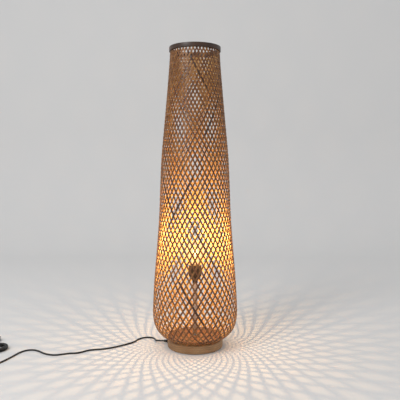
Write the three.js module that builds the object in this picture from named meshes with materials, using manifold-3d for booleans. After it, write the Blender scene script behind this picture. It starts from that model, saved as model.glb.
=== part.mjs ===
// A floor lamp: an open woven shade that lifts off a weighted wooden base, with a bulb on a short stem inside it
// and a mains cord with a switch and a plug on the floor. Millimetres, +Z up, floor at z = 0, lamp's axis on Z.
import * as THREE from "three";
import { mergeVertices } from "three/addons/utils/BufferGeometryUtils.js";
import Module from "manifold-3d";

const wasm = await Module();
wasm.setup();

// Sizes that every seat and cut shares.
const CLEARANCE = 0.3; // air between two pieces that rest against each other
const OVERRUN = 4; // how far a cutting tool runs past what it cuts
const MERGE_DISTANCE = 0.001; // vertices nearer than this are one vertex

// Wooden base.
const BASE_RADIUS = 93.8;
const BASE_TOP = 27; // height of the rim that the shade stands on
const BASE_EDGE = 1; // chamfer round the rim
const BASE_LIFT = 2; // underside of the wood above the floor
const FOOT_RADIUS = 5.5;
const RIM_LEDGE = 9.8; // width of the rim that the shade stands on
const SPIGOT_HEIGHT = 10;
const RIM_WALL = 17.8; // wood between the recess and the outside
const RECESS_ROOF = 7; // wood between the recess and the rim's height
const POCKET_RADIUS = 30; // deeper pocket for the pipe's nut
const POCKET_DEPTH = 6;
const COVER_THICKNESS = 2;
const COVER_LEDGE = 3;
const FOOT_COUNT = 4;

// Steel weight under the base's roof.
const PLATE_THICKNESS = 6;
const PLATE_HOLE_RADIUS = 33;
const PLATE_MARGIN = 4;
const PLATE_SCREW_RADIUS = 2;
const PLATE_SCREW_HEAD_RADIUS = 3.6;
const PLATE_SCREW_HEAD_HEIGHT = 2;
const PLATE_SCREW_BITE = 9; // length of the screw in the wood
const PLATE_SCREW_COUNT = 3;

// Cord, its strain relief and the wires inside.
const CORD_DIAMETER = 5.4;
const CORD_EXIT_ANGLE_SHARE = 172 / 360; // share of a turn from +X, anticlockwise from above
const CORD_EXIT_HEIGHT = 10.5;
const RELIEF_FLANGE_RADIUS = 5.8;
const RELIEF_FLANGE_THICKNESS = 2.4;
const RELIEF_NECK_RADIUS = 4.5;
const RELIEF_COLLAR_RADIUS = 6.6;
const RELIEF_COLLAR_THICKNESS = 2.2;
const RELIEF_TAPER = 12;
const RELIEF_ROOT_RADIUS = 5.2;
const RELIEF_TIP_WALL = 0.7;
const SHEATH_END = 44; // where the sheath is stripped, from the lamp's axis
const WIRE_DIAMETER = 2.2;

// Threaded pipe, nuts, washers and the sleeve round the pipe.
const PIPE_RADIUS = 5;
const PIPE_BORE_RADIUS = 3.5;
const PIPE_TAIL = 4.6; // pipe below the lower nut
const PIPE_REACH = 10; // pipe inside the lampholder
const NUT_FLATS = 14;
const NUT_THICKNESS = 4;
const WASHER_RADIUS = 11;
const WASHER_THICKNESS = 1.5;
const SLEEVE_RADIUS = 8;
const SLEEVE_WALL = 2.4;
const SLEEVE_LENGTH = 172;

// Lampholder.
const HOLDER_RADIUS = 19.5;
const HOLDER_WALL = 1.6;
const HUB_RADIUS = 9;
const HUB_HEIGHT = 8;
const BELL_HEIGHT = 12;
const CAP_RIM_HEIGHT = 8;
const INSERT_HEIGHT = 11;
const SKIRT_HEIGHT = 37;
const SKIRT_OVERLAP = 4;
const SKIRT_LIP_THICKNESS = 1.5;
const SKIRT_LIP_GAP = 2.3;
const SHELL_HEIGHT = 22;
const SHELL_WALL = 0.5;
const SHELL_PLAY = 0.35;
const CONTACT_RADIUS = 3;
const CONTACT_HEIGHT = 4;
const TERMINAL_OFFSET = 8; // where each wire ends, from the lamp's axis
const TERMINAL_SCREW_RADIUS = 1.5;
const WIRE_REACH = 5; // length of each wire inside the insert

// Bulb.
const BULB_LENGTH = 105;
const BULB_RADIUS = 30;
const BULB_NECK_RADIUS = 11;
const BALL_JOIN_SHARE = 40 / 360; // how far below the middle of the ball the neck joins it, as a share of a turn
const GLASS_WALL = 0.8;
const SCREW_CAP_RADIUS = 13;
const SCREW_CAP_HEIGHT = 22;
const SCREW_CAP_WALL = 0.9;
const THREAD_DEPTH = 0.7;
const THREAD_PITCH = 3.629;
const THREAD_COUNT = 4;
const TIP_RADIUS = 4.5;
const TIP_HEIGHT = 1.2;
const INSULATOR_HEIGHT = 3;
const STEM_GLASS_RADIUS = 3.2;
const STEM_GLASS_LENGTH = 34;
const FRAME_ROD_RADIUS = 0.8;
const FRAME_ARM = 1.2; // width and thickness of an arm that carries the filaments
const FILAMENT_LENGTH = 36;
const FILAMENT_RADIUS = 0.9;
const FILAMENT_COUNT = 4;
const FILAMENT_LOW_RADIUS = 9;
const FILAMENT_HIGH_RADIUS = 4;

// Woven shade.
const LAMP_HEIGHT = 1000;
const STRIP_COUNT = 46; // strips wound each way
const STRIP_WIDTH = 5;
const STRIP_THICKNESS = 1.2;
const WIDEST_RADIUS = 141.5; // of the wall's middle
const WIDEST_HEIGHT = 115;
const MOUTH_RADIUS = 80.75; // of the wall's middle at the top
const HOOP_HEIGHT = 14;
const HOOP_THICKNESS = 2.2;
const RIM_BAND_HEIGHT = 6; // the band that joins the strips inside the hoops
const RIM_BAND_DROP = 2; // top of that band below the lamp's top
const FOOT_RING_HEIGHT = 3;
const FOOT_HOOP_HEIGHT = 9.7;
const FOOT_HOOP_PLAY = 0.6; // between the spigot and the shade's lower hoop
const SHADE_FOOT_STEP = 2.3; // wall's middle outside the lower hoop
const FOOT_LEAN_SHARE = 35 / 360; // lean of the strips from upright at the foot, as a share of a turn
const MOUTH_LEAN_SHARE = 27.3 / 360;
const LEAN_FADE = 4; // how fast the lean settles with height, as a power

// Inline switch, on the cord.
const SWITCH_LENGTH = 62;
const SWITCH_WIDTH = 24;
const SWITCH_HALF_HEIGHT = 7.35;
const SWITCH_CORNER = 8;
const ROCKER_LENGTH = 15;
const ROCKER_WIDTH = 8.4;
const ROCKER_GAP = 0.9;
const ROCKER_RISE = 2.4; // shoulders of the rocker above its pivot
const ROCKER_DISH = 1.2; // its middle above the pivot
const ROCKER_SKIRT = 1.2; // its ends below the pivot
const ROCKER_KEEL = 3.2; // its middle below the pivot
const ROCKER_PIVOT_DROP = 3; // pivot below the top of the switch
const ROCKER_PIN_RADIUS = 0.9;
const ROCKER_PIN_BITE = 1.8; // length of the pin in each side of the switch
const SWITCH_SCREW_RADIUS = 1.3;
const SWITCH_SCREW_PLACE = 22; // from the middle of the switch
const SWITCH_SCREW_DEPTH = 4;
const ROCKER_TILT_SHARE = 8 / 360;

// Coil of put-away cord and its tie.
const COIL_MEAN_RADIUS = 30;
const COIL_PITCH = 6;
const COIL_TURNS_A_LAYER = 2.5;
const COIL_STEPS_A_TURN = 24;
const COIL_SIDES = 6;
const TIE_WIDTH = 9;
const TIE_THICKNESS = 0.9;

// Plug.
const PLUG_LENGTH = 35;
const PLUG_WIDTH = 34;
const PLUG_REAR_WIDTH = 14;
const PLUG_SHOULDER = 10;
const PLUG_NOSE = 4;
const PLUG_NOSE_INSET = 2;
const PLUG_TIP_RADIUS = 3.4;
const PLUG_THICKNESS = 13.5;
const PLUG_TAPER = 20;
const PLUG_TAPER_RADIUS = 5.6;
const PIN_RADIUS = 2;
const PIN_LENGTH = 19;
const PIN_HOLD = 8;
const PIN_SPACING = 18.6;

// Outline of the shade's wall from its foot to its widest ring: share of the height, share of the way outwards.
const bowlShares = [
  [0, 0],
  [0.048, 0.21],
  [0.12, 0.385],
  [0.229, 0.577],
  [0.386, 0.769],
  [0.627, 0.923],
];

// Outline from the widest ring to the mouth: share of the height, share of the way in to the mouth still to go.
const bodyShares = [
  [0, 1],
  [0.052, 0.98],
  [0.132, 0.912],
  [0.247, 0.773],
  [0.374, 0.634],
  [0.488, 0.569],
  [0.603, 0.49],
  [0.718, 0.338],
  [0.833, 0.187],
  [0.937, 0.058],
  [1, 0],
];

// Centre line of the cord on the floor, from just outside the strain relief to just before the switch.
const cordRoute = [
  [-121.6, 18.6, 10.1],
  [-130.6, 24.7, 8.8],
  [-136.9, 34.5, 6.6],
  [-141, 55.2, 3],
  [-146.2, 65.1, 2.7],
  [-154.5, 71.9, 2.7],
  [-165.5, 75, 2.7],
  [-179.2, 72.7, 2.7],
  [-198.8, 56.1, 2.7],
  [-211.7, 27.7, 2.7],
  [-232, 6.5, 2.7],
  [-257, -14, 2.7],
  [-284, -32, 2.7],
  [-308, -42.5, 2.7],
  [-333, -47, 2.7],
  [-354, -54.5, 2.7],
  [-371.9, -70.1, 2.7],
  [-389, -79.3, 2.7],
  [-408, -81.2, 2.7],
  [-430, -89, 2.7],
  [-449, -95, 2.7],
  [-470, -92, 2.7],
  [-494, -78.6, 2.7],
  [-516.6, -58.6, 2.7],
  [-537.2, -48.6, 2.7],
  [-555.7, -52, 2.7],
  [-571.5, -69.7, 2.7],
  [-582.9, -102, 2.7],
  [-594, -134, 2.7],
  [-606, -161, 2.7],
  [-621, -186, 2.7],
  [-646, -199.5, 2.7],
  [-672, -194, 2.7],
  [-690, -175, 3],
  [-698.1, -158, 5.3],
];
const switchPlace = [-699.5, -105]; // middle of the switch on the floor
const coilPlace = [-662, -38]; // middle of the coil
const plugStart = 2; // Y of the tip of the plug's taper

// Places and sizes that follow from the ones above.
const cordRadius = CORD_DIAMETER / 2;
const wireRadius = WIRE_DIAMETER / 2;
const recessRadius = BASE_RADIUS - RIM_WALL;
const spigotRadius = BASE_RADIUS - RIM_LEDGE; // the raised step that centres the shade
const recessCeiling = BASE_TOP - RECESS_ROOF;
const pocketCeiling = recessCeiling + POCKET_DEPTH;
const spigotTop = BASE_TOP + SPIGOT_HEIGHT;
const plateRadius = recessRadius - PLATE_MARGIN;
const plateScrewCircle = (PLATE_HOLE_RADIUS + plateRadius) / 2;
const plateTop = recessCeiling - CLEARANCE;
const plateFoot = plateTop - PLATE_THICKNESS;
const lowerWasherTop = pocketCeiling - CLEARANCE;
const lowerNutTop = lowerWasherTop - WASHER_THICKNESS - CLEARANCE;
const pipeFoot = lowerNutTop - NUT_THICKNESS - PIPE_TAIL;
const upperWasherFoot = spigotTop + CLEARANCE;
const upperNutFoot = upperWasherFoot + WASHER_THICKNESS + CLEARANCE;
const sleeveFoot = upperNutFoot + NUT_THICKNESS + CLEARANCE;
const sleeveTop = sleeveFoot + SLEEVE_LENGTH;
const holderFoot = sleeveTop + CLEARANCE;
const holderCapTop = holderFoot + HUB_HEIGHT + BELL_HEIGHT + CAP_RIM_HEIGHT;
const insertFoot = holderFoot + HUB_HEIGHT + BELL_HEIGHT + CLEARANCE;
const insertTop = insertFoot + INSERT_HEIGHT;
const insertRadius = HOLDER_RADIUS - HOLDER_WALL - CLEARANCE;
const shellFoot = insertTop + CLEARANCE;
const shellBoreRadius = SCREW_CAP_RADIUS + SHELL_PLAY;
const skirtFoot = holderCapTop - SKIRT_OVERLAP;
const skirtTop = skirtFoot + SKIRT_HEIGHT;
const tipFoot = shellFoot + CONTACT_HEIGHT + CLEARANCE;
const insulatorFoot = tipFoot + TIP_HEIGHT + CLEARANCE;
const screwCapFoot = insulatorFoot + INSULATOR_HEIGHT + CLEARANCE;
const screwCapTop = screwCapFoot + SCREW_CAP_HEIGHT;
const bulbTop = tipFoot + BULB_LENGTH;
const bulbCentre = bulbTop - BULB_RADIUS;
const footHoopInside = spigotRadius + FOOT_HOOP_PLAY;
const footHoopOutside = footHoopInside + HOOP_THICKNESS;
const wallHalf = STRIP_THICKNESS + CLEARANCE / 2; // from the wall's middle to either side
const shadeFootRadius = footHoopOutside + SHADE_FOOT_STEP;
const footRingFoot = BASE_TOP + CLEARANCE;
const shadeFoot = footRingFoot + FOOT_RING_HEIGHT + wallHalf + CLEARANCE;
const mouthHeight = LAMP_HEIGHT - HOOP_HEIGHT;
const rimBandFoot = LAMP_HEIGHT - RIM_BAND_DROP - RIM_BAND_HEIGHT;
const coilLowHeight = TIE_THICKNESS + CLEARANCE + cordRadius;
const switchCordHeight = SWITCH_HALF_HEIGHT + CLEARANCE / 2;
const plugCordHeight = PLUG_THICKNESS / 2;
const fullTurn = 2 * Math.PI;

// Numbers of sides and steps: a large ring, a middle-sized turned piece, a small one, and the woven wall.
const LARGE_SIDES = 32;
const MIDDLE_SIDES = 18;
const SMALL_SIDES = 10;
const CORD_SIDES = 8;
const WIRE_SIDES = 5;
const WIRE_STEPS = 44;
const SAMPLES_A_SPAN = 20;
const BOWL_LEVELS = 4;
const BODY_LEVELS = 9;
const facetShare = Math.cos(Math.PI / LARGE_SIDES); // how near the axis the flats of a large ring come

// Turns an outline of [radius, height] about Z. It runs up the outside and, on a hollow piece, down the inside.
function turned(outline, sides) {
  const startsOnAxis = outline[0][0] === 0;
  const points = startsOnAxis ? outline : [...outline, outline[0]];
  const vectors = points.map(([radius, height]) => new THREE.Vector2(radius, height));
  return new THREE.LatheGeometry(vectors, sides).rotateX(Math.PI / 2);
}

function ring(inside, outside, foot, top, sides) {
  return turned([[inside, foot], [outside, foot], [outside, top], [inside, top]], sides);
}

function rod(radius, foot, top, sides) {
  return turned([[0, foot], [radius, foot], [radius, top], [0, top]], sides);
}

function polygon(radius, sides) {
  const corner = (unused, side) => {
    const angle = (fullTurn * side) / sides;
    return new THREE.Vector2(radius * Math.cos(angle), radius * Math.sin(angle));
  };
  return Array.from({ length: sides }, corner);
}

function rectangle(left, right, low, high) {
  return [[left, low], [right, low], [right, high], [left, high]].map(([x, y]) => new THREE.Vector2(x, y));
}

// A plate of the given plan outline, with optional holes, standing on height foot.
function plate(outline, foot, thickness, holes = []) {
  const shape = new THREE.Shape(outline);
  holes.forEach((hole) => shape.holes.push(new THREE.Path(hole)));
  const settings = { depth: thickness, bevelEnabled: false };
  return new THREE.ExtrudeGeometry(shape, settings).translate(0, 0, foot);
}

// A round tube of the given radius along a smooth curve through points.
function tube(points, radius, sides, steps) {
  const path = new THREE.CatmullRomCurve3(points);
  const settings = { steps, extrudePath: path, bevelEnabled: false };
  return new THREE.ExtrudeGeometry(new THREE.Shape(polygon(radius, sides)), settings);
}

function toSolid(geometry) {
  const bare = geometry.index ? geometry.toNonIndexed() : geometry.clone();
  bare.deleteAttribute("normal");
  bare.deleteAttribute("uv");
  const merged = mergeVertices(bare, MERGE_DISTANCE);
  const vertProperties = merged.attributes.position.array;
  const triVerts = new Uint32Array(merged.index.array);
  return new wasm.Manifold(new wasm.Mesh({ numProp: 3, vertProperties, triVerts }));
}

function fromSolid(solid) {
  const mesh = solid.getMesh();
  const geometry = new THREE.BufferGeometry();
  geometry.setAttribute("position", new THREE.BufferAttribute(mesh.vertProperties, 3));
  geometry.setIndex(new THREE.BufferAttribute(mesh.triVerts, 1));
  geometry.computeVertexNormals();
  return geometry;
}

function cut(geometry, ...tools) {
  return fromSolid(tools.reduce((rest, tool) => rest.subtract(toSolid(tool)), toSolid(geometry)));
}

function joined(geometry, ...others) {
  return fromSolid(others.reduce((rest, other) => rest.add(toSolid(other)), toSolid(geometry)));
}

// Lays a piece that was turned about Z along the cord's way out of the base, so its heights become distances
// from the lamp's axis.
const exitAngle = fullTurn * CORD_EXIT_ANGLE_SHARE;

function alongExit(geometry) {
  return geometry.rotateY(Math.PI / 2).rotateZ(exitAngle).translate(0, 0, CORD_EXIT_HEIGHT);
}

// A point of the base given along the cord's way out, sideways from it and up.
function exitPoint(along, side, height) {
  const x = along * Math.cos(exitAngle) - side * Math.sin(exitAngle);
  const y = along * Math.sin(exitAngle) + side * Math.cos(exitAngle);
  return new THREE.Vector3(x, y, height);
}

// The plate's screws stand on a circle, turned so that none is in the cord's way.
function plateScrewPlace(index) {
  const angle = exitAngle + (fullTurn * (index + 1 / 2)) / PLATE_SCREW_COUNT;
  return [plateScrewCircle * Math.cos(angle), plateScrewCircle * Math.sin(angle), 0];
}

const plateScrewTop = recessCeiling + PLATE_SCREW_BITE;

function plateScrewHoles(foot) {
  const hole = (unused, index) =>
    rod(PLATE_SCREW_RADIUS + CLEARANCE, foot, plateScrewTop + CLEARANCE, SMALL_SIDES)
      .translate(...plateScrewPlace(index));
  return Array.from({ length: PLATE_SCREW_COUNT }, hole);
}

function baseDisc() {
  const ledgeRadius = recessRadius + COVER_LEDGE;
  const ledgeTop = BASE_LIFT + CLEARANCE + COVER_THICKNESS + CLEARANCE;
  const boreRadius = PIPE_RADIUS + CLEARANCE;
  const wood = turned([
    [ledgeRadius, BASE_LIFT],
    [BASE_RADIUS - BASE_EDGE, BASE_LIFT],
    [BASE_RADIUS, BASE_LIFT + BASE_EDGE],
    [BASE_RADIUS, BASE_TOP - BASE_EDGE],
    [BASE_RADIUS - BASE_EDGE, BASE_TOP],
    [spigotRadius, BASE_TOP],
    [spigotRadius, spigotTop - BASE_EDGE],
    [spigotRadius - BASE_EDGE, spigotTop],
    [boreRadius, spigotTop],
    [boreRadius, pocketCeiling],
    [POCKET_RADIUS, pocketCeiling],
    [POCKET_RADIUS, recessCeiling],
    [recessRadius, recessCeiling],
    [recessRadius, ledgeTop],
    [ledgeRadius, ledgeTop],
  ], LARGE_SIDES);
  const holeRadius = RELIEF_NECK_RADIUS + CLEARANCE;
  const cordHole = alongExit(rod(holeRadius, recessRadius - OVERRUN, BASE_RADIUS + OVERRUN, SMALL_SIDES));
  return cut(wood, cordHole, ...plateScrewHoles(recessCeiling - OVERRUN));
}

function weightPlate() {
  const steel = ring(PLATE_HOLE_RADIUS, plateRadius, plateFoot, plateTop, LARGE_SIDES);
  return cut(steel, ...plateScrewHoles(plateFoot - OVERRUN));
}

function plateScrew(index) {
  const headTop = plateFoot - CLEARANCE;
  const outline = [
    [0, headTop - PLATE_SCREW_HEAD_HEIGHT],
    [PLATE_SCREW_HEAD_RADIUS, headTop - PLATE_SCREW_HEAD_HEIGHT],
    [PLATE_SCREW_HEAD_RADIUS, headTop],
    [PLATE_SCREW_RADIUS, headTop],
    [PLATE_SCREW_RADIUS, plateScrewTop],
    [0, plateScrewTop],
  ];
  return turned(outline, SMALL_SIDES).translate(...plateScrewPlace(index));
}

function rubberFoot(index) {
  const circle = (BASE_RADIUS + recessRadius + COVER_LEDGE) / 2;
  const angle = (fullTurn * (index + 1 / 2)) / FOOT_COUNT;
  const pad = rod(FOOT_RADIUS, 0, BASE_LIFT - CLEARANCE, SMALL_SIDES);
  return pad.translate(circle * Math.cos(angle), circle * Math.sin(angle), 0);
}

// The relief's flange sits inside the wooden rim, its neck goes through it, and its taper stands outside.
const reliefCollarFoot = BASE_RADIUS + CLEARANCE;
const reliefTaperFoot = reliefCollarFoot + RELIEF_COLLAR_THICKNESS;
const reliefTip = reliefTaperFoot + RELIEF_TAPER;

function strainRelief() {
  const bore = cordRadius + CLEARANCE;
  const rimInside = Math.sqrt((recessRadius * facetShare) ** 2 - RELIEF_FLANGE_RADIUS ** 2);
  const flangeTop = rimInside - CLEARANCE;
  const flangeFoot = flangeTop - RELIEF_FLANGE_THICKNESS;
  return alongExit(turned([
    [bore, flangeFoot],
    [RELIEF_FLANGE_RADIUS, flangeFoot],
    [RELIEF_FLANGE_RADIUS, flangeTop],
    [RELIEF_NECK_RADIUS, flangeTop],
    [RELIEF_NECK_RADIUS, reliefCollarFoot],
    [RELIEF_COLLAR_RADIUS, reliefCollarFoot],
    [RELIEF_COLLAR_RADIUS, reliefTaperFoot],
    [RELIEF_ROOT_RADIUS, reliefTaperFoot],
    [bore + RELIEF_TIP_WALL, reliefTip],
    [bore, reliefTip],
  ], SMALL_SIDES));
}

// One insulated wire: from the stripped sheath, round a bend of four diameters and up the pipe to its terminal.
function wire(hand) {
  const bend = 4 * WIRE_DIAMETER;
  const side = hand * (wireRadius + CLEARANCE);
  const low = pipeFoot - bend;
  const half = bend * Math.SQRT1_2;
  const pipeTop = holderFoot + PIPE_REACH;
  const end = hand * TERMINAL_OFFSET;
  const points = [
    exitPoint(SHEATH_END - CLEARANCE, side, CORD_EXIT_HEIGHT),
    exitPoint(2 * bend, side, low),
    exitPoint(bend, side, low),
    exitPoint(bend - half, side, pipeFoot - half),
    exitPoint(0, side, pipeFoot),
    exitPoint(0, side, pipeFoot + bend),
    exitPoint(0, side, pipeTop - bend),
    exitPoint(0, side, pipeTop),
    exitPoint(0, end, insertFoot - WIRE_DIAMETER),
    exitPoint(0, end, insertFoot),
    exitPoint(0, end, insertFoot + WIRE_REACH),
  ];
  return tube(points, wireRadius, WIRE_SIDES, WIRE_STEPS);
}

function pipeNut(foot) {
  const corner = NUT_FLATS / 2 / Math.cos(Math.PI / 6);
  return plate(polygon(corner, 6), foot, NUT_THICKNESS, [polygon(PIPE_RADIUS + CLEARANCE, SMALL_SIDES)]);
}

function pipeWasher(foot) {
  return ring(PIPE_RADIUS + CLEARANCE, WASHER_RADIUS, foot, foot + WASHER_THICKNESS, MIDDLE_SIDES);
}

function holderCap() {
  const hubTop = holderFoot + HUB_HEIGHT;
  const bellTop = hubTop + BELL_HEIGHT;
  const boreRadius = PIPE_RADIUS + CLEARANCE;
  return turned([
    [boreRadius, holderFoot],
    [HUB_RADIUS, holderFoot],
    [HUB_RADIUS, hubTop],
    [HOLDER_RADIUS, bellTop],
    [HOLDER_RADIUS, holderCapTop],
    [HOLDER_RADIUS - HOLDER_WALL, holderCapTop],
    [HOLDER_RADIUS - HOLDER_WALL, bellTop],
    [HUB_RADIUS - HOLDER_WALL, hubTop + HOLDER_WALL],
    [boreRadius, hubTop + HOLDER_WALL],
  ], MIDDLE_SIDES);
}

// Porcelain insert with a hole for each wire from below and one for each terminal screw from its side.
const terminalHeight = insertFoot + WIRE_REACH;
const terminalInside = TERMINAL_OFFSET + wireRadius + CLEARANCE;

function towardsTerminal(geometry, hand) {
  return geometry.rotateY(Math.PI / 2).rotateZ(exitAngle + (hand * fullTurn) / 4).translate(0, 0, terminalHeight);
}

function holderInsert() {
  const body = rod(insertRadius, insertFoot, insertTop, MIDDLE_SIDES);
  const wireHole = (hand) => {
    const place = exitPoint(0, hand * TERMINAL_OFFSET, 0);
    const top = terminalHeight + CLEARANCE;
    return rod(wireRadius + CLEARANCE, insertFoot - OVERRUN, top, SMALL_SIDES).translate(place.x, place.y, 0);
  };
  const screwHole = (hand) => {
    const foot = terminalInside - CLEARANCE;
    const hole = rod(TERMINAL_SCREW_RADIUS + CLEARANCE, foot, insertRadius + OVERRUN, SMALL_SIDES);
    return towardsTerminal(hole, hand);
  };
  return cut(body, wireHole(1), wireHole(-1), screwHole(1), screwHole(-1));
}

function terminalScrew(hand) {
  return towardsTerminal(rod(TERMINAL_SCREW_RADIUS, terminalInside, insertRadius - CLEARANCE, SMALL_SIDES), hand);
}

function screwShell() {
  const outside = shellBoreRadius + SHELL_WALL;
  const inside = 2 * CONTACT_RADIUS;
  return turned([
    [inside, shellFoot],
    [outside, shellFoot],
    [outside, shellFoot + SHELL_HEIGHT],
    [shellBoreRadius, shellFoot + SHELL_HEIGHT],
    [shellBoreRadius, shellFoot + SHELL_WALL],
    [inside, shellFoot + SHELL_WALL],
  ], MIDDLE_SIDES);
}

function holderSkirt() {
  const inside = HOLDER_RADIUS + CLEARANCE;
  const lip = SCREW_CAP_RADIUS + SKIRT_LIP_GAP;
  return turned([
    [inside, skirtFoot],
    [inside + HOLDER_WALL, skirtFoot],
    [inside + HOLDER_WALL, skirtTop],
    [lip, skirtTop],
    [lip, skirtTop - SKIRT_LIP_THICKNESS],
    [inside, skirtTop - SKIRT_LIP_THICKNESS],
  ], MIDDLE_SIDES);
}

function bulbScrewCap() {
  const root = SCREW_CAP_RADIUS - THREAD_DEPTH;
  const inside = root - SCREW_CAP_WALL;
  const threadFoot = screwCapFoot + THREAD_PITCH / 2;
  const thread = Array.from({ length: THREAD_COUNT }, (unused, turn) => [
    [root, threadFoot + turn * THREAD_PITCH],
    [SCREW_CAP_RADIUS, threadFoot + (turn + 1 / 2) * THREAD_PITCH],
  ]).flat();
  return turned([
    [TIP_RADIUS, screwCapFoot],
    [root - SCREW_CAP_WALL / 2, screwCapFoot],
    ...thread,
    [root, threadFoot + THREAD_COUNT * THREAD_PITCH],
    [root, screwCapTop],
    [inside, screwCapTop],
    [inside, screwCapFoot + SCREW_CAP_WALL],
    [TIP_RADIUS, screwCapFoot + SCREW_CAP_WALL],
  ], MIDDLE_SIDES);
}

function bulbInsulator() {
  const wide = SCREW_CAP_RADIUS - THREAD_DEPTH - SCREW_CAP_WALL;
  const top = insulatorFoot + INSULATOR_HEIGHT;
  return turned([[0, insulatorFoot], [TIP_RADIUS, insulatorFoot], [wide, top], [0, top]], MIDDLE_SIDES);
}

// One side of the bulb's glass, set in by inset: up the neck, round a curve into the ball and on to its top.
const neckFoot = screwCapFoot + SCREW_CAP_HEIGHT / 3;

function glassOutline(inset) {
  const neckTop = screwCapTop + OVERRUN;
  const ball = BULB_RADIUS - inset;
  const meet = -fullTurn * BALL_JOIN_SHARE;
  const joint = new THREE.Vector2(ball * Math.cos(meet), bulbCentre + ball * Math.sin(meet));
  const neck = BULB_NECK_RADIUS - inset;
  const rise = (joint.x - neck) / Math.tan(-meet);
  const bend = new THREE.Vector2(neck, joint.y - rise);
  const curve = new THREE.QuadraticBezierCurve(new THREE.Vector2(neck, neckTop), bend, joint);
  const ballSteps = 7;
  const arc = Array.from({ length: ballSteps }, (unused, step) => {
    const angle = meet + ((fullTurn / 4 - meet) * (step + 1)) / ballSteps;
    return [step + 1 < ballSteps ? ball * Math.cos(angle) : 0, bulbCentre + ball * Math.sin(angle)];
  });
  return [[neck, neckFoot], ...curve.getPoints(4).map((point) => [point.x, point.y]), ...arc];
}

function bulbGlass() {
  return turned([...glassOutline(0), ...glassOutline(GLASS_WALL).reverse()], MIDDLE_SIDES);
}

// Glass stem inside the neck, and above it the steel frame whose arms carry the filaments.
const stemGlassFoot = neckFoot + CLEARANCE;
const stemGlassTop = stemGlassFoot + STEM_GLASS_LENGTH;
const frameFoot = stemGlassTop + CLEARANCE;
const filamentFoot = frameFoot + FRAME_ARM + CLEARANCE;
const filamentTop = filamentFoot + FILAMENT_LENGTH;
const upperArmFoot = filamentTop + CLEARANCE;

function bulbStem() {
  const flare = BULB_NECK_RADIUS - GLASS_WALL - CLEARANCE;
  const shoulder = stemGlassFoot + STEM_GLASS_LENGTH / 3;
  return turned([
    [0, stemGlassFoot],
    [flare, stemGlassFoot],
    [STEM_GLASS_RADIUS, shoulder],
    [STEM_GLASS_RADIUS, stemGlassTop],
    [0, stemGlassTop],
  ], SMALL_SIDES);
}

function filamentFrame() {
  const half = FRAME_ARM / 2;
  const arms = (reach, foot) => [
    plate(rectangle(-reach, reach, -half, half), foot, FRAME_ARM),
    plate(rectangle(-half, half, -reach, reach), foot, FRAME_ARM),
  ];
  const centre = rod(FRAME_ROD_RADIUS, frameFoot, upperArmFoot + FRAME_ARM, SMALL_SIDES);
  const low = arms(FILAMENT_LOW_RADIUS + FRAME_ARM, frameFoot);
  return joined(centre, ...low, ...arms(FILAMENT_HIGH_RADIUS + FRAME_ARM, upperArmFoot));
}

// A filament leans in from the end of a lower arm to the end of an upper one.
function filament(index) {
  const angle = (fullTurn * index) / FILAMENT_COUNT;
  const lean = -Math.atan((FILAMENT_LOW_RADIUS - FILAMENT_HIGH_RADIUS) / FILAMENT_LENGTH);
  const length = FILAMENT_LENGTH - FILAMENT_RADIUS / 2;
  const middle = (FILAMENT_LOW_RADIUS + FILAMENT_HIGH_RADIUS) / 2;
  return rod(FILAMENT_RADIUS, -length / 2, length / 2, SMALL_SIDES)
    .rotateY(lean)
    .translate(middle, 0, (filamentFoot + filamentTop) / 2)
    .rotateZ(angle);
}

// Levels of the woven wall from its foot to the rim band: where its middle lies, which way it faces, how far round
// a strip has wound by then and half the angle that the strip covers, cut level.
function wallLevels() {
  const bowl = bowlShares.map(([up, out]) => new THREE.Vector2(
    shadeFootRadius + out * (WIDEST_RADIUS - shadeFootRadius),
    shadeFoot + up * (WIDEST_HEIGHT - shadeFoot),
  ));
  const body = bodyShares.map(([up, out]) => new THREE.Vector2(
    MOUTH_RADIUS + out * (WIDEST_RADIUS - MOUTH_RADIUS),
    WIDEST_HEIGHT + up * (mouthHeight - WIDEST_HEIGHT),
  ));
  const curve = new THREE.SplineCurve([...bowl, ...body]);
  const samples = (bowl.length + body.length - 1) * SAMPLES_A_SPAN;
  const points = curve.getPoints(samples);
  const lengths = curve.getLengths(samples);
  const leanAt = (index) => {
    const toGo = 1 - lengths[index] / lengths[samples];
    return fullTurn * (MOUTH_LEAN_SHARE + (FOOT_LEAN_SHARE - MOUTH_LEAN_SHARE) * toGo ** LEAN_FADE);
  };
  const turns = [0];
  for (let index = 1; index <= samples; index++) {
    const step = lengths[index] - lengths[index - 1];
    turns.push(turns[index - 1] + (Math.tan(leanAt(index)) * step) / points[index].x);
  }
  const widest = turns[bowl.length * SAMPLES_A_SPAN];
  const levelAt = (turn, push) => {
    const index = Math.max(1, turns.findIndex((value) => value >= turn - 1e-9));
    const share = (turn - turns[index - 1]) / (turns[index] - turns[index - 1]);
    const point = points[index - 1].clone().lerp(points[index], share);
    const along = points[index].clone().sub(points[index - 1]).normalize();
    const radius = point.x * (1 + push);
    const halfAngle = STRIP_WIDTH / 2 / Math.cos(leanAt(index)) / radius;
    return { radius, height: point.y, out: along.y, up: -along.x, turn, halfAngle };
  };
  const spread = (from, to, count) => {
    const step = (to - from) / count;
    const push = (1 - Math.cos(step / 2)) / 2; // half of what the straight chords cut off the curve
    return Array.from({ length: count - 1 }, (unused, index) => levelAt(from + step * (index + 1), push));
  };
  const last = turns[samples];
  const mouth = levelAt(last, 0);
  const rise = rimBandFoot - mouth.height;
  const rim = {
    ...mouth,
    height: rimBandFoot,
    out: 1,
    up: 0,
    turn: last + (Math.tan(leanAt(samples)) * rise) / mouth.radius,
  };
  mouth.out = 1;
  mouth.up = 0;
  return [
    levelAt(0, 0),
    ...spread(0, widest, BOWL_LEVELS),
    levelAt(widest, 0),
    ...spread(widest, last, BODY_LEVELS),
    mouth,
    rim,
  ];
}

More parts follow.
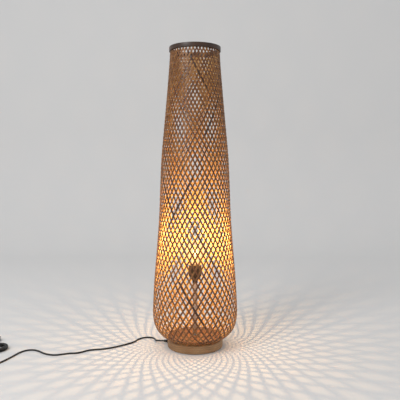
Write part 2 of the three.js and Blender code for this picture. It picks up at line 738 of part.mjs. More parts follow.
// All the strips that wind one way, joined by a band at the top. A strip's section has a flat back and a crown:
// its two edges lie at depth from the wall's middle, and its crown one strip's thickness further out.
function stripFamily(hand, depth) {
  const levels = wallLevels();
  const positions = [];
  const faces = [];
  const top = levels.length;
  const place = (level, angle, offset, height = level.height + level.up * offset) => {
    const radius = level.radius + level.out * offset;
    positions.push(radius * Math.cos(angle), radius * Math.sin(angle), height);
  };
  const start = (strip) => (fullTurn * strip) / STRIP_COUNT;
  const crownDepth = depth + STRIP_THICKNESS;
  for (const level of levels) {
    for (let strip = 0; strip < STRIP_COUNT; strip++) {
      const angle = start(strip) + hand * level.turn;
      place(level, angle - level.halfAngle, depth);
      place(level, angle, crownDepth);
      place(level, angle + level.halfAngle, depth);
    }
  }
  const rim = levels[top - 1];
  for (let strip = 0; strip < STRIP_COUNT; strip++) {
    const angle = start(strip) + hand * rim.turn;
    place(rim, angle, crownDepth, rimBandFoot + RIM_BAND_HEIGHT);
    place(rim, angle, depth, rimBandFoot + RIM_BAND_HEIGHT);
  }
  const corner = (level, strip, side) => 3 * (level * STRIP_COUNT + (strip % STRIP_COUNT)) + side;
  const bandTop = (strip, side) => 3 * top * STRIP_COUNT + 2 * (strip % STRIP_COUNT) + side;
  const quad = (a, b, c, d) => faces.push(a, b, c, a, c, d);
  const back = 2; // the flat side, folded the other way so that the two families stay clear of each other
  for (let strip = 0; strip < STRIP_COUNT; strip++) {
    for (let level = 0; level + 1 < top; level++) {
      for (let side = 0; side < 3; side++) {
        const next = (side + 1) % 3;
        const around = [
          corner(level, strip, side),
          corner(level, strip, next),
          corner(level + 1, strip, next),
          corner(level + 1, strip, side),
        ];
        if (side === back) {
          around.push(around.shift());
        }
        quad(...around);
      }
    }
    faces.push(corner(0, strip, 0), corner(0, strip, 2), corner(0, strip, 1));
    const [left, crown, right] = [0, 1, 2].map((side) => corner(top - 1, strip, side));
    const nextLeft = corner(top - 1, strip + 1, 0);
    const nextCrown = corner(top - 1, strip + 1, 1);
    quad(right, nextLeft, nextCrown, crown);
    quad(crown, nextCrown, bandTop(strip + 1, 0), bandTop(strip, 0));
    quad(bandTop(strip, 0), bandTop(strip + 1, 0), bandTop(strip + 1, 1), bandTop(strip, 1));
    faces.push(right, left, bandTop(strip, 1));
    quad(nextLeft, right, bandTop(strip, 1), bandTop(strip + 1, 1));
  }
  const geometry = new THREE.BufferGeometry();
  geometry.setAttribute("position", new THREE.Float32BufferAttribute(positions, 3));
  geometry.setIndex(faces);
  geometry.computeVertexNormals();
  return geometry;
}

// Straight ends of a cord piece, one cord's diameter long, and the smooth run between them.
function cordRun(start, startWay, middle, end, endWay) {
  const points = [
    start,
    start.clone().addScaledVector(startWay, CORD_DIAMETER),
    ...middle,
    end.clone().addScaledVector(endWay, -CORD_DIAMETER),
    end,
  ];
  const length = new THREE.CatmullRomCurve3(points).getLength();
  const steps = Math.ceil(length / (3 * CORD_DIAMETER));
  console.log("cord run of", length.toFixed(1), "mm");
  return tube(points, cordRadius, CORD_SIDES, Math.max(steps, 4));
}

const away = new THREE.Vector3(0, 1, 0); // the way in which switch, coil and plug follow each other
const switchStart = new THREE.Vector3(switchPlace[0], switchPlace[1] - SWITCH_LENGTH / 2, switchCordHeight);
const switchEnd = new THREE.Vector3(switchPlace[0], switchPlace[1] + SWITCH_LENGTH / 2, switchCordHeight);
const coilRadius = COIL_MEAN_RADIUS + (COIL_PITCH * COIL_TURNS_A_LAYER) / 2;
const coilStart = new THREE.Vector3(coilPlace[0] - coilRadius, coilPlace[1] - CORD_DIAMETER, coilLowHeight);
const coilEnd = new THREE.Vector3(coilStart.x, coilPlace[1] + CORD_DIAMETER, coilLowHeight + COIL_PITCH);
const plugTip = new THREE.Vector3(coilStart.x, plugStart, plugCordHeight);
const gap = (point, share) => point.clone().addScaledVector(away, share * CLEARANCE);

function mainsRun() {
  const start = exitPoint(reliefTip + CLEARANCE / 2, 0, CORD_EXIT_HEIGHT);
  const way = exitPoint(1, 0, 0);
  const middle = cordRoute.map((point) => new THREE.Vector3(...point));
  return cordRun(start, way, middle, gap(switchStart, -1), away);
}

// The coil: it winds inwards on the floor, climbs one layer in the half turn round its innermost point, and winds
// out again on top. Height and radius follow from the number of turns wound so far.
function coilPath() {
  const turns = 2 * COIL_TURNS_A_LAYER;
  const steps = turns * COIL_STEPS_A_TURN;
  const path = [coilStart];
  for (let step = 0; step <= steps; step++) {
    const turn = step / COIL_STEPS_A_TURN;
    const fromInnermost = turn - COIL_TURNS_A_LAYER;
    const radius = coilRadius - COIL_PITCH * (COIL_TURNS_A_LAYER - Math.abs(fromInnermost));
    const climb = THREE.MathUtils.smoothstep(fromInnermost, -1 / 4, 1 / 4);
    const angle = fullTurn * (1 / 2 - turn);
    const x = coilPlace[0] + radius * Math.cos(angle);
    const y = coilPlace[1] + radius * Math.sin(angle);
    path.push(new THREE.Vector3(x, y, coilLowHeight + COIL_PITCH * climb));
  }
  path.push(coilEnd);
  return path;
}

// Least distance between parts of the coil that are more than half a turn apart, less the cord's own diameter.
function leastCoilGap(path) {
  let least = Infinity;
  path.forEach((point, index) => {
    for (let other = index + COIL_STEPS_A_TURN / 2; other < path.length; other++) {
      least = Math.min(least, point.distanceTo(path[other]));
    }
  });
  return least - CORD_DIAMETER;
}

// A tube through the path's own points, with its section square to the path and level with the floor.
function cordCoil() {
  const path = coilPath();
  console.log("least gap of the coil to itself", leastCoilGap(path).toFixed(2), "mm");
  const upright = new THREE.Vector3(0, 0, 1);
  const positions = [];
  path.forEach((point, index) => {
    const before = path[Math.max(index - 1, 0)];
    const after = path[Math.min(index + 1, path.length - 1)];
    const straight = index === 0 || index === path.length - 1;
    const along = straight ? away.clone() : after.clone().sub(before).normalize();
    const side = along.clone().cross(upright).normalize();
    const up = side.clone().cross(along);
    for (const corner of polygon(cordRadius, COIL_SIDES)) {
      const place = point.clone().addScaledVector(side, corner.x).addScaledVector(up, corner.y);
      positions.push(place.x, place.y, place.z);
    }
  });
  const faces = [];
  const last = (path.length - 1) * COIL_SIDES;
  for (let side = 0; side < COIL_SIDES; side++) {
    const next = (side + 1) % COIL_SIDES;
    for (let foot = 0; foot < last; foot += COIL_SIDES) {
      const top = foot + COIL_SIDES;
      faces.push(foot + side, top + next, foot + next, foot + side, top + side, top + next);
    }
    if (side > 0 && next > 0) {
      faces.push(0, side, next, last, last + next, last + side);
    }
  }
  const geometry = new THREE.BufferGeometry();
  geometry.setAttribute("position", new THREE.Float32BufferAttribute(positions, 3));
  geometry.setIndex(faces);
  geometry.computeVertexNormals();
  return geometry;
}

// A strap round the coil's bundle of turns, on the side nearest the switch.
function coilTie() {
  const reach = (COIL_PITCH * COIL_TURNS_A_LAYER) / 2 + cordRadius + CLEARANCE;
  const top = coilLowHeight + COIL_PITCH + cordRadius + CLEARANCE;
  const outside = rectangle(-reach - TIE_THICKNESS, reach + TIE_THICKNESS, 0, top + TIE_THICKNESS);
  const inside = rectangle(-reach, reach, TIE_THICKNESS, top);
  return plate(outside, -TIE_WIDTH / 2, TIE_WIDTH, [inside])
    .rotateX(fullTurn / 4)
    .translate(COIL_MEAN_RADIUS, 0, 0)
    .rotateZ(-fullTurn / 4)
    .translate(coilPlace[0], coilPlace[1], 0);
}

// Inline switch. Its pieces are made round their own middle, lengthwise along X, and turned along the cord after.
const switchHeight = 2 * SWITCH_HALF_HEIGHT + CLEARANCE;
const switchUpperFoot = SWITCH_HALF_HEIGHT + CLEARANCE;
const pivotHeight = switchHeight - ROCKER_PIVOT_DROP;
const pinHalf = ROCKER_WIDTH / 2 + CLEARANCE + ROCKER_PIN_BITE;

function placedSwitch(geometry) {
  return geometry.rotateZ(fullTurn / 4).translate(switchPlace[0], switchPlace[1], 0);
}

function switchOutline() {
  const arcSteps = 4;
  const centre = [SWITCH_LENGTH / 2 - SWITCH_CORNER, SWITCH_WIDTH / 2 - SWITCH_CORNER];
  return [[1, 1], [-1, 1], [-1, -1], [1, -1]].flatMap(([alongSign, sideSign], corner) =>
    Array.from({ length: arcSteps + 1 }, (unused, step) => {
      const angle = (fullTurn / 4) * (corner + step / arcSteps);
      const x = alongSign * centre[0] + SWITCH_CORNER * Math.cos(angle);
      return new THREE.Vector2(x, sideSign * centre[1] + SWITCH_CORNER * Math.sin(angle));
    }));
}

function switchLowerHalf() {
  return placedSwitch(plate(switchOutline(), 0, SWITCH_HALF_HEIGHT));
}

// A piece turned about Z laid across the switch at the height of the rocker's pivot.
function acrossSwitch(geometry) {
  return geometry.rotateX(fullTurn / 4).translate(0, 0, pivotHeight);
}

function switchScrewHole(side) {
  const foot = switchHeight - SWITCH_SCREW_DEPTH;
  const hole = rod(SWITCH_SCREW_RADIUS + CLEARANCE, foot, switchHeight + OVERRUN, SMALL_SIDES);
  return hole.translate(side * SWITCH_SCREW_PLACE, 0, 0);
}

function switchUpperHalf() {
  const half = plate(switchOutline(), switchUpperFoot, SWITCH_HALF_HEIGHT);
  const windowLength = ROCKER_LENGTH / 2 + ROCKER_GAP;
  const windowWidth = ROCKER_WIDTH / 2 + CLEARANCE;
  const windowPlan = rectangle(-windowLength, windowLength, -windowWidth, windowWidth);
  const opening = plate(windowPlan, switchUpperFoot - OVERRUN, SWITCH_HALF_HEIGHT + 2 * OVERRUN);
  const boreHalf = pinHalf + CLEARANCE;
  const bore = acrossSwitch(rod(ROCKER_PIN_RADIUS + CLEARANCE, -boreHalf, boreHalf, SMALL_SIDES));
  return placedSwitch(cut(half, opening, bore, switchScrewHole(1), switchScrewHole(-1)));
}

function switchScrew(side) {
  const foot = switchHeight - SWITCH_SCREW_DEPTH + CLEARANCE;
  const screw = rod(SWITCH_SCREW_RADIUS, foot, switchHeight - CLEARANCE, SMALL_SIDES);
  return placedSwitch(screw.translate(side * SWITCH_SCREW_PLACE, 0, 0));
}

// The rocker's side outline about its pivot, with a bore for its pin.
function rocker() {
  const end = ROCKER_LENGTH / 2;
  const outline = [
    [-end, -ROCKER_SKIRT],
    [0, -ROCKER_KEEL],
    [end, -ROCKER_SKIRT],
    [end, ROCKER_RISE],
    [0, ROCKER_DISH + CLEARANCE],
    [-end, ROCKER_RISE],
  ].map(([x, y]) => new THREE.Vector2(x, y));
  const bore = polygon(ROCKER_PIN_RADIUS + CLEARANCE, SMALL_SIDES);
  const body = plate(outline, -ROCKER_WIDTH / 2, ROCKER_WIDTH, [bore]);
  const tilted = body.rotateX(fullTurn / 4).rotateY(fullTurn * ROCKER_TILT_SHARE);
  return placedSwitch(tilted.translate(0, 0, pivotHeight));
}

function rockerPin() {
  return placedSwitch(acrossSwitch(rod(ROCKER_PIN_RADIUS, -pinHalf, pinHalf, SMALL_SIDES)));
}

// Plug lying flat, made along X from the tip of its taper and turned along the cord after.
const plugEnd = PLUG_TAPER + PLUG_LENGTH;

function placedPlug(geometry) {
  return geometry.rotateZ(fullTurn / 4).translate(plugTip.x, plugTip.y, 0);
}

function pinRod(radius, from, to, side) {
  const laid = rod(radius, from, to, SMALL_SIDES).rotateY(fullTurn / 4);
  return laid.translate(0, (side * PIN_SPACING) / 2, plugCordHeight);
}

function plug() {
  const rear = PLUG_REAR_WIDTH / 2;
  const half = PLUG_WIDTH / 2;
  const nose = half - PLUG_NOSE_INSET;
  const outline = [
    [PLUG_TAPER, -rear],
    [PLUG_TAPER + PLUG_SHOULDER, -half],
    [plugEnd - PLUG_NOSE, -half],
    [plugEnd, -nose],
    [plugEnd, nose],
    [plugEnd - PLUG_NOSE, half],
    [PLUG_TAPER + PLUG_SHOULDER, half],
    [PLUG_TAPER, rear],
  ].map(([x, y]) => new THREE.Vector2(x, y));
  const body = plate(outline, 0, PLUG_THICKNESS);
  const taperOutline = [
    [0, 0],
    [PLUG_TIP_RADIUS, 0],
    [PLUG_TAPER_RADIUS, PLUG_TAPER],
    [PLUG_TAPER_RADIUS, PLUG_TAPER + OVERRUN],
    [0, PLUG_TAPER + OVERRUN],
  ];
  const taper = turned(taperOutline, SMALL_SIDES).rotateY(fullTurn / 4).translate(0, 0, plugCordHeight);
  const hole = (side) => pinRod(PIN_RADIUS + CLEARANCE, plugEnd - PIN_HOLD, plugEnd + OVERRUN, side);
  return placedPlug(cut(joined(body, taper), hole(1), hole(-1)));
}

function plugPin(side) {
  return placedPlug(pinRod(PIN_RADIUS, plugEnd - PIN_HOLD + CLEARANCE, plugEnd + PIN_LENGTH, side));
}

// Colour, roughness and metalness of each material.
const looks = {
  rattan: { color: "#8a5a32", roughness: 0.6, metalness: 0 },
  darkBamboo: { color: "#4a2f1d", roughness: 0.55, metalness: 0 },
  wood: { color: "#a98a6c", roughness: 0.6, metalness: 0 },
  fibreboard: { color: "#6b5338", roughness: 0.85, metalness: 0 },
  castIron: { color: "#3a3b3d", roughness: 0.6, metalness: 0.8 },
  steel: { color: "#b9bcc0", roughness: 0.35, metalness: 1 },
  brass: { color: "#b08d4a", roughness: 0.35, metalness: 1 },
  blackPlastic: { color: "#161616", roughness: 0.45, metalness: 0 },
  rubber: { color: "#1b1b1b", roughness: 0.8, metalness: 0 },
  cordSheath: { color: "#121212", roughness: 0.55, metalness: 0 },
  brownInsulation: { color: "#5a3420", roughness: 0.5, metalness: 0 },
  blueInsulation: { color: "#2d4f86", roughness: 0.5, metalness: 0 },
  porcelain: { color: "#eceae4", roughness: 0.3, metalness: 0 },
  glass: { color: "#f3efe6", roughness: 0.05, metalness: 0, transparent: true, opacity: 0.35 },
  filament: { color: "#ffd9a0", roughness: 0.4, metalness: 0 },
};

function piece(name, look, geometry) {
  const mesh = new THREE.Mesh(geometry, new THREE.MeshStandardMaterial(looks[look]));
  mesh.name = name;
  return mesh;
}

function group(name, ...pieces) {
  const made = new THREE.Group();
  made.name = name;
  made.add(...pieces.flat());
  return made;
}

function numbered(name, look, count, make) {
  return Array.from({ length: count }, (unused, index) => piece(`${name}_${index + 1}`, look, make(index)));
}

const coverRadius = recessRadius + COVER_LEDGE - CLEARANCE;
const coverFoot = BASE_LIFT + CLEARANCE;
const base = group(
  "base",
  piece("base_disc", "wood", baseDisc()),
  piece("weight_plate", "castIron", weightPlate()),
  numbered("plate_screw", "steel", PLATE_SCREW_COUNT, plateScrew),
  numbered("rubber_foot", "rubber", FOOT_COUNT, rubberFoot),
  piece("base_cover", "fibreboard", rod(coverRadius, coverFoot, coverFoot + COVER_THICKNESS, LARGE_SIDES)),
  piece("strain_relief", "blackPlastic", strainRelief()),
);

const pipe = ring(PIPE_BORE_RADIUS, PIPE_RADIUS, pipeFoot, holderFoot + PIPE_REACH, MIDDLE_SIDES);
const sleeve = ring(SLEEVE_RADIUS - SLEEVE_WALL, SLEEVE_RADIUS, sleeveFoot, sleeveTop, MIDDLE_SIDES);
const leadIn = rod(cordRadius, SHEATH_END, reliefTip - CLEARANCE / 2, CORD_SIDES);
const stem = group(
  "stem",
  piece("threaded_pipe", "steel", pipe),
  piece("lower_nut", "steel", pipeNut(lowerNutTop - NUT_THICKNESS)),
  piece("lower_washer", "steel", pipeWasher(lowerWasherTop - WASHER_THICKNESS)),
  piece("upper_washer", "steel", pipeWasher(upperWasherFoot)),
  piece("upper_nut", "steel", pipeNut(upperNutFoot)),
  piece("stem_sleeve", "steel", sleeve),
  piece("cord_lead_in", "cordSheath", alongExit(leadIn)),
  piece("wire_live", "brownInsulation", wire(1)),
  piece("wire_neutral", "blueInsulation", wire(-1)),
);

const lampholder = group(
  "lampholder",
  piece("holder_cap", "blackPlastic", holderCap()),
  piece("holder_insert", "porcelain", holderInsert()),
  piece("terminal_screw_1", "brass", terminalScrew(1)),
  piece("terminal_screw_2", "brass", terminalScrew(-1)),
  piece("screw_shell", "brass", screwShell()),
  piece("centre_contact", "brass", rod(CONTACT_RADIUS, shellFoot, shellFoot + CONTACT_HEIGHT, SMALL_SIDES)),
  piece("holder_skirt", "blackPlastic", holderSkirt()),
);

const bulb = group(
  "bulb",
  piece("bulb_glass", "glass", bulbGlass()),
  piece("bulb_screw_cap", "brass", bulbScrewCap()),
  piece("bulb_insulator", "blackPlastic", bulbInsulator()),
  piece("bulb_tip_contact", "steel", rod(TIP_RADIUS, tipFoot, tipFoot + TIP_HEIGHT, SMALL_SIDES)),
  piece("bulb_stem", "glass", bulbStem()),
  piece("filament_frame", "steel", filamentFrame()),
  numbered("filament", "filament", FILAMENT_COUNT, filament),
);

const outerHoopInside = (MOUTH_RADIUS + wallHalf + CLEARANCE) / facetShare;
const outerHoop = ring(outerHoopInside, outerHoopInside + HOOP_THICKNESS, mouthHeight, LAMP_HEIGHT, LARGE_SIDES);
const innerHoopOutside = MOUTH_RADIUS - wallHalf - CLEARANCE;
const innerHoop = ring(innerHoopOutside - HOOP_THICKNESS, innerHoopOutside, mouthHeight, LAMP_HEIGHT, LARGE_SIDES);
const footHoopTop = footRingFoot + FOOT_HOOP_HEIGHT;
const footHoop = ring(footHoopInside, footHoopOutside, footRingFoot, footHoopTop, LARGE_SIDES);
const footRingTop = footRingFoot + FOOT_RING_HEIGHT;
const footRing = ring(footHoopOutside + CLEARANCE, BASE_RADIUS, footRingFoot, footRingTop, LARGE_SIDES);
const shade = group(
  "shade",
  piece("strips_wound_left", "rattan", stripFamily(1, -wallHalf)),
  piece("strips_wound_right", "rattan", stripFamily(-1, CLEARANCE / 2)),
  piece("top_outer_hoop", "darkBamboo", outerHoop),
  piece("top_inner_hoop", "darkBamboo", innerHoop),
  piece("bottom_inner_hoop", "darkBamboo", footHoop),
  piece("bottom_ring", "darkBamboo", footRing),
);

const toCoil = cordRun(gap(switchEnd, 1), away, [], gap(coilStart, -1), away);
const toPlug = cordRun(gap(coilEnd, 1), away, [], gap(plugTip, -1), away);
const cord = group(
  "cord",
  piece("cord_to_switch", "cordSheath", mainsRun()),
  piece("switch_lower_half", "blackPlastic", switchLowerHalf()),
  piece("switch_upper_half", "blackPlastic", switchUpperHalf()),
  piece("switch_screw_1", "steel", switchScrew(1)),
  piece("switch_screw_2", "steel", switchScrew(-1)),
  piece("rocker", "blackPlastic", rocker()),
  piece("rocker_pin", "steel", rockerPin()),
  piece("cord_to_coil", "cordSheath", toCoil),
  piece("cord_coil", "cordSheath", cordCoil()),
  piece("coil_tie", "blackPlastic", coilTie()),
  piece("cord_to_plug", "cordSheath", toPlug),
  piece("plug", "blackPlastic", plug()),
  piece("plug_pin_1", "steel", plugPin(1)),
  piece("plug_pin_2", "steel", plugPin(-1)),
);

export default group("floor_lamp", base, stem, lampholder, bulb, shade, cord);
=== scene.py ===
# %% [markdown]
# # A woven floor lamp
# The lamp is a tall shade of thin strips, woven on the diagonal, on a round wooden base, with a
# bulb on a short stem inside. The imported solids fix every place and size, and this lesson gives
# each piece the surface and the finish of the real one. Lengths are in metres, and the floor is at
# height zero.

import math

import bmesh
import bpy
import numpy as np
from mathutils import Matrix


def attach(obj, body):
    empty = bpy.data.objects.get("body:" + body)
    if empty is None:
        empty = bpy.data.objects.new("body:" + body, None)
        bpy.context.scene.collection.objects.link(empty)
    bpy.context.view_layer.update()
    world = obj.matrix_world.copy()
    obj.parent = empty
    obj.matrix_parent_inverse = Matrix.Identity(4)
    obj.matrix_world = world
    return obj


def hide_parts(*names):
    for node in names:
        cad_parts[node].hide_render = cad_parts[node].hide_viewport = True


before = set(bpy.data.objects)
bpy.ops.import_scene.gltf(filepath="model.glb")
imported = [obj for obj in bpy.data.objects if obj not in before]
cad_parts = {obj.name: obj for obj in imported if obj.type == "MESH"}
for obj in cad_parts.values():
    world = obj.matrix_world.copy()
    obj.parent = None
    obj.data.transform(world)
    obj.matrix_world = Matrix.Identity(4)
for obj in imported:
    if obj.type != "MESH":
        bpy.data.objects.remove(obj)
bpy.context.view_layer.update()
scene = bpy.context.scene
MM = 0.001

# %% [markdown]
# ## The camera
# A photograph fixes its camera: the horizon, the tilt of upright edges and the size of round rims
# at different heights give its height, tilt and distance. The lamp stands a little left of the
# middle, so the camera turns slightly to the right. Depth of field stays off, so other views are
# sharp too.

# %% Camera
EYE_DISTANCE, EYE_HEIGHT = 1.735, 0.6095
TILT_DOWN, TURN_RIGHT = 3.70, 0.553

eye = bpy.data.cameras.new("standing_eye")
eye.sensor_width = 36
eye.lens = 46.62
camera = bpy.data.objects.new("standing_eye", eye)
camera.location = (0.0, -EYE_DISTANCE, EYE_HEIGHT)
camera.rotation_euler = (math.radians(90 - TILT_DOWN), 0.0, math.radians(-TURN_RIGHT))
scene.collection.objects.link(camera)
scene.camera = camera
print("camera", EYE_DISTANCE, "m from the lamp,", EYE_HEIGHT, "m up")

# %% [markdown]
# ## The mains cord
# A thin black cord leaves the base, wanders over the floor to a small switch, lies in a tied coil
# and ends in a plug. A curve with a round section is the natural tool: its points are places on the
# floor, its handles keep it smooth, and the radius at each point is half the cord's diameter. The
# route is listed, because where a cord falls follows no formula. The coil does: it winds in on
# the floor and out again one layer up.

# %% Route of the cord
CORD_DIAMETER = 5.4 * MM
EXIT_ANGLE = math.radians(172)
EXIT_HEIGHT = 10.5 * MM
RELIEF_TIP = 108.45 * MM
SWITCH_ENDS = (-136.3 * MM, -73.7 * MM)
SWITCH_CORD_HEIGHT = 7.5 * MM
COIL_MIDDLE = (-662 * MM, -38 * MM)
COIL_RADIUS = 37.5 * MM
COIL_PITCH = 6 * MM
COIL_TURNS_A_LAYER = 2.5
COIL_LOW = 3.9 * MM
PLUG_TIP = (-699.5 * MM, 1.7 * MM, 6.75 * MM)

# The cord's middle lies 0.1 mm above its radius, so the smooth curve never dips into the floor.
floor_route = MM * np.array([
    (-121.6, 18.6, 10.1), (-130.6, 24.7, 8.8), (-136.9, 34.5, 6.6), (-141, 55.2, 3),
    (-146.2, 65.1, 2.8), (-154.5, 71.9, 2.8), (-165.5, 75, 2.8), (-179.2, 72.7, 2.8),
    (-198.8, 56.1, 2.8), (-211.7, 27.7, 2.8), (-232, 6.5, 2.8), (-257, -14, 2.8), (-284, -32, 2.8),
    (-308, -42.5, 2.8), (-333, -47, 2.8), (-354, -54.5, 2.8), (-371.9, -70.1, 2.8),
    (-389, -79.3, 2.8), (-408, -81.2, 2.8), (-430, -89, 2.8), (-449, -95, 2.8), (-470, -92, 2.8),
    (-494, -78.6, 2.8), (-516.6, -58.6, 2.8), (-537.2, -48.6, 2.8), (-555.7, -52, 2.8),
    (-571.5, -69.7, 2.8), (-582.9, -102, 2.8), (-594, -134, 2.8), (-606, -161, 2.8),
    (-621, -186, 2.8), (-646, -199.5, 2.8), (-672, -194, 2.8), (-690, -175, 3), (-698.1, -158, 5.3),
])


def exit_point(distance):
    """Point that far from the lamp's axis on the line by which the cord leaves the base."""
    return (distance * math.cos(EXIT_ANGLE), distance * math.sin(EXIT_ANGLE), EXIT_HEIGHT)


def swung(radius, angle, height):
    """Points (r cos a, r sin a, h) about the upright axis, of numbers or of arrays."""
    return np.stack(np.broadcast_arrays(radius * np.cos(angle), radius * np.sin(angle), height), -1)


def coil_points(steps_a_turn=24):
    """Points of the coil. The radius falls by one pitch a turn to the middle of the path and grows
    again after it, the angle runs clockwise from the left, and the height climbs one pitch within
    the half turn round the middle, as 3t^2 - 2t^3 of the way."""
    turn = np.linspace(0, 2 * COIL_TURNS_A_LAYER, int(2 * COIL_TURNS_A_LAYER * steps_a_turn) + 1)
    from_middle = turn - COIL_TURNS_A_LAYER
    radius = COIL_RADIUS - COIL_PITCH * (COIL_TURNS_A_LAYER - np.abs(from_middle))
    way = np.clip(2 * from_middle + 0.5, 0, 1)
    rise = COIL_PITCH * way * way * (3 - 2 * way)
    return swung(radius, 2 * np.pi * (0.5 - turn), rise) + [*COIL_MIDDLE, COIL_LOW]


def path_length(points):
    """How far along a path each of its points lies: the sum of the steps up to it."""
    return np.concatenate([[0], np.cumsum(np.linalg.norm(np.diff(points, axis=0), axis=1))])


coil = coil_points()
coil_left = coil[0, 0]
through_switch = [(coil_left, y, SWITCH_CORD_HEIGHT) for y in (
    SWITCH_ENDS[0] - CORD_DIAMETER, *SWITCH_ENDS, SWITCH_ENDS[1] + CORD_DIAMETER)]
cord_points = np.vstack([
    [exit_point(RELIEF_TIP), exit_point(RELIEF_TIP + CORD_DIAMETER)],
    floor_route, through_switch,
    [(coil_left, coil[0, 1] - 2 * CORD_DIAMETER, COIL_LOW)],
    coil,
    [(coil_left, coil[-1, 1] + 2 * CORD_DIAMETER, coil[-1, 2])],
    [(PLUG_TIP[0], PLUG_TIP[1] - CORD_DIAMETER, PLUG_TIP[2]), PLUG_TIP],
])
print("cord points", len(cord_points), "straight sum", round(path_length(cord_points)[-1], 4), "m")

# %% Cord as a smooth curve
cord_curve = bpy.data.curves.new("mains_cord", "CURVE")
cord_curve.dimensions = "3D"
spline = cord_curve.splines.new("BEZIER")
spline.bezier_points.add(len(cord_points) - 1)
spline.bezier_points.foreach_set("co", cord_points.ravel())
for point in spline.bezier_points:
    point.handle_left_type = point.handle_right_type = "AUTO"
    point.radius = CORD_DIAMETER / 2
spline.resolution_u = 5
cord_curve.bevel_depth = 1.0
cord_curve.bevel_resolution = 4
cord_curve.use_fill_caps = True
mains_cord = bpy.data.objects.new("mains_cord", cord_curve)
scene.collection.objects.link(mains_cord)
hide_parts("cord_to_switch", "cord_to_coil", "cord_coil", "cord_to_plug")
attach(mains_cord, "stand")
print("cord", round(CORD_DIAMETER / MM, 1), "mm thick")

# %% [markdown]
# ## Turning numbers into meshes
# Every hard piece is either a grid of points, each worked out from two parameters, or a copy of a
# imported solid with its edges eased. Whole numpy arrays keep the formulas in sight and are quick.

# %% Meshes from grids
def hand_over(piece, body, replaced):
    """Lets a piece stand for the named solids and ride a body."""
    if replaced:
        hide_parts(*replaced)
    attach(piece, body)
    return piece


def place(name, points, faces, body, replaced=(), uv=None):
    """Makes a mesh object of points [..., 3] and faces [count, corners]. uv gives two numbers a
    point, in metres along and across the surface."""
    mesh = bpy.data.meshes.new(name)
    mesh.from_pydata(points.reshape(-1, 3), [], faces)
    if uv is not None:
        corners = np.empty(len(mesh.loops), dtype=np.int32)
        mesh.loops.foreach_get("vertex_index", corners)
        layer = mesh.uv_layers.new(name="along_across")
        layer.data.foreach_set("uv", uv.reshape(-1, 2)[corners].astype(np.float32).ravel())
    mesh.validate()
    mesh.shade_smooth()
    piece = bpy.data.objects.new(name, mesh)
    scene.collection.objects.link(piece)
    return hand_over(piece, body, replaced)


def grid_faces(rows, columns, close_rows, close_columns):
    """Faces of a grid of points: each joins a point with the next in its row and the two beside
    them in the next row. Closing a direction joins its last points with its first."""
    row = np.arange(rows if close_rows else rows - 1)[:, None]
    column = np.arange(columns if close_columns else columns - 1)[None, :]
    next_row = (row + 1) % rows
    next_column = (column + 1) % columns
    corners = [row * columns + column, row * columns + next_column,
               next_row * columns + next_column, next_row * columns + column]
    return np.stack(corners, axis=-1).reshape(-1, 4)


print("a closed grid of 3 by 4 points has", len(grid_faces(3, 4, True, True)), "faces")

# %% [markdown]
# ## Turned pieces
# Most of the lamp is round, as a lathe or a round mould leaves it: an outline, its corners rounded
# a little as real ones are, goes once about the upright axis. Where it meets the axis its points
# are merged, so no pinhole is left.

# %% Turning
def around(sides):
    """Angles of a full turn in equal steps."""
    return np.linspace(0, 2 * np.pi, sides, endpoint=False)


def bend(start, corner, end, t):
    """The curve (1-t)^2 A + 2t(1-t) P + t^2 B, from A to B and drawn towards P."""
    return (1 - t) ** 2 * start + 2 * t * (1 - t) * corner + t ** 2 * end


def eased(outline, steps=4):
    """Rounds the corners of an outline of (radius, height, ease). A corner gives way to a bend
    between the points on its two sides that are one ease away from it."""
    corner, ease = outline[:, :2], outline[:, 2]
    ends = []
    for neighbour in (1, -1):
        side = np.roll(corner, neighbour, axis=0) - corner
        length = np.linalg.norm(side, axis=1)
        share = np.minimum(ease, 0.45 * length) / length
        ends.append((corner + side * share[:, None])[:, None])
    curve = bend(ends[0], corner[:, None], ends[1], np.linspace(0, 1, steps + 1)[None, :, None])
    return np.concatenate([arc if reach > 0 else point[None]
                           for arc, reach, point in zip(curve, ease, corner)])


def joined_and_outward(piece, sharp_degrees=35):
    """Merges points that coincide, as on the axis of a turned shape, turns all faces outwards and
    keeps edges crisp that turn by more than the given angle."""
    work = bmesh.new()
    work.from_mesh(piece.data)
    bmesh.ops.remove_doubles(work, verts=work.verts, dist=1e-6)
    bmesh.ops.dissolve_degenerate(work, edges=work.edges, dist=1e-7)
    bmesh.ops.recalc_face_normals(work, faces=work.faces)
    work.to_mesh(piece.data)
    work.free()
    piece.data.shade_smooth()
    piece.data.set_sharp_from_angle(angle=math.radians(sharp_degrees))
    return piece


def turned(name, rows, replaced=(), body="stand", sides=96, lay=None):
    """Turns an outline about the upright axis: a point of the grid is (r cos a, r sin a, h). The
    outline's rows are (radius, height, ease) in millimetres, up the outside and down the inside or
    along the axis. lay then puts the points where they belong."""
    outline = eased(MM * np.array(rows, dtype=float))
    angle = around(sides)[None, :]
    radius, height = outline[:, :1], outline[:, 1:]
    points = swung(radius, angle, height)
    run = path_length(outline)[:, None]
    uv = np.stack(np.broadcast_arrays(angle * radius.max(), run), -1)
    points = points if lay is None else lay(points)
    faces = grid_faces(*points.shape[:2], True, True)
    return joined_and_outward(place(name, points, faces, body, replaced, uv))


print("a turned piece has", len(around(96)), "sides, if nothing else is said")

# %% [markdown]
# ## What lies on the cord
# The switch and the plug are moulded plastic, so edges that are sharp on the solids are rounded. A
# bevel of about a millimetre catches the light as the real edge does. Only outer edges get it: on
# those of a hole or of the round strain relief it would hold all the others back.

# %% Switch, tie and plug
SHORTEST_EDGE = 2.5 * MM
SQUARE_CORNER, UPRIGHT_CORNER = 60, 28


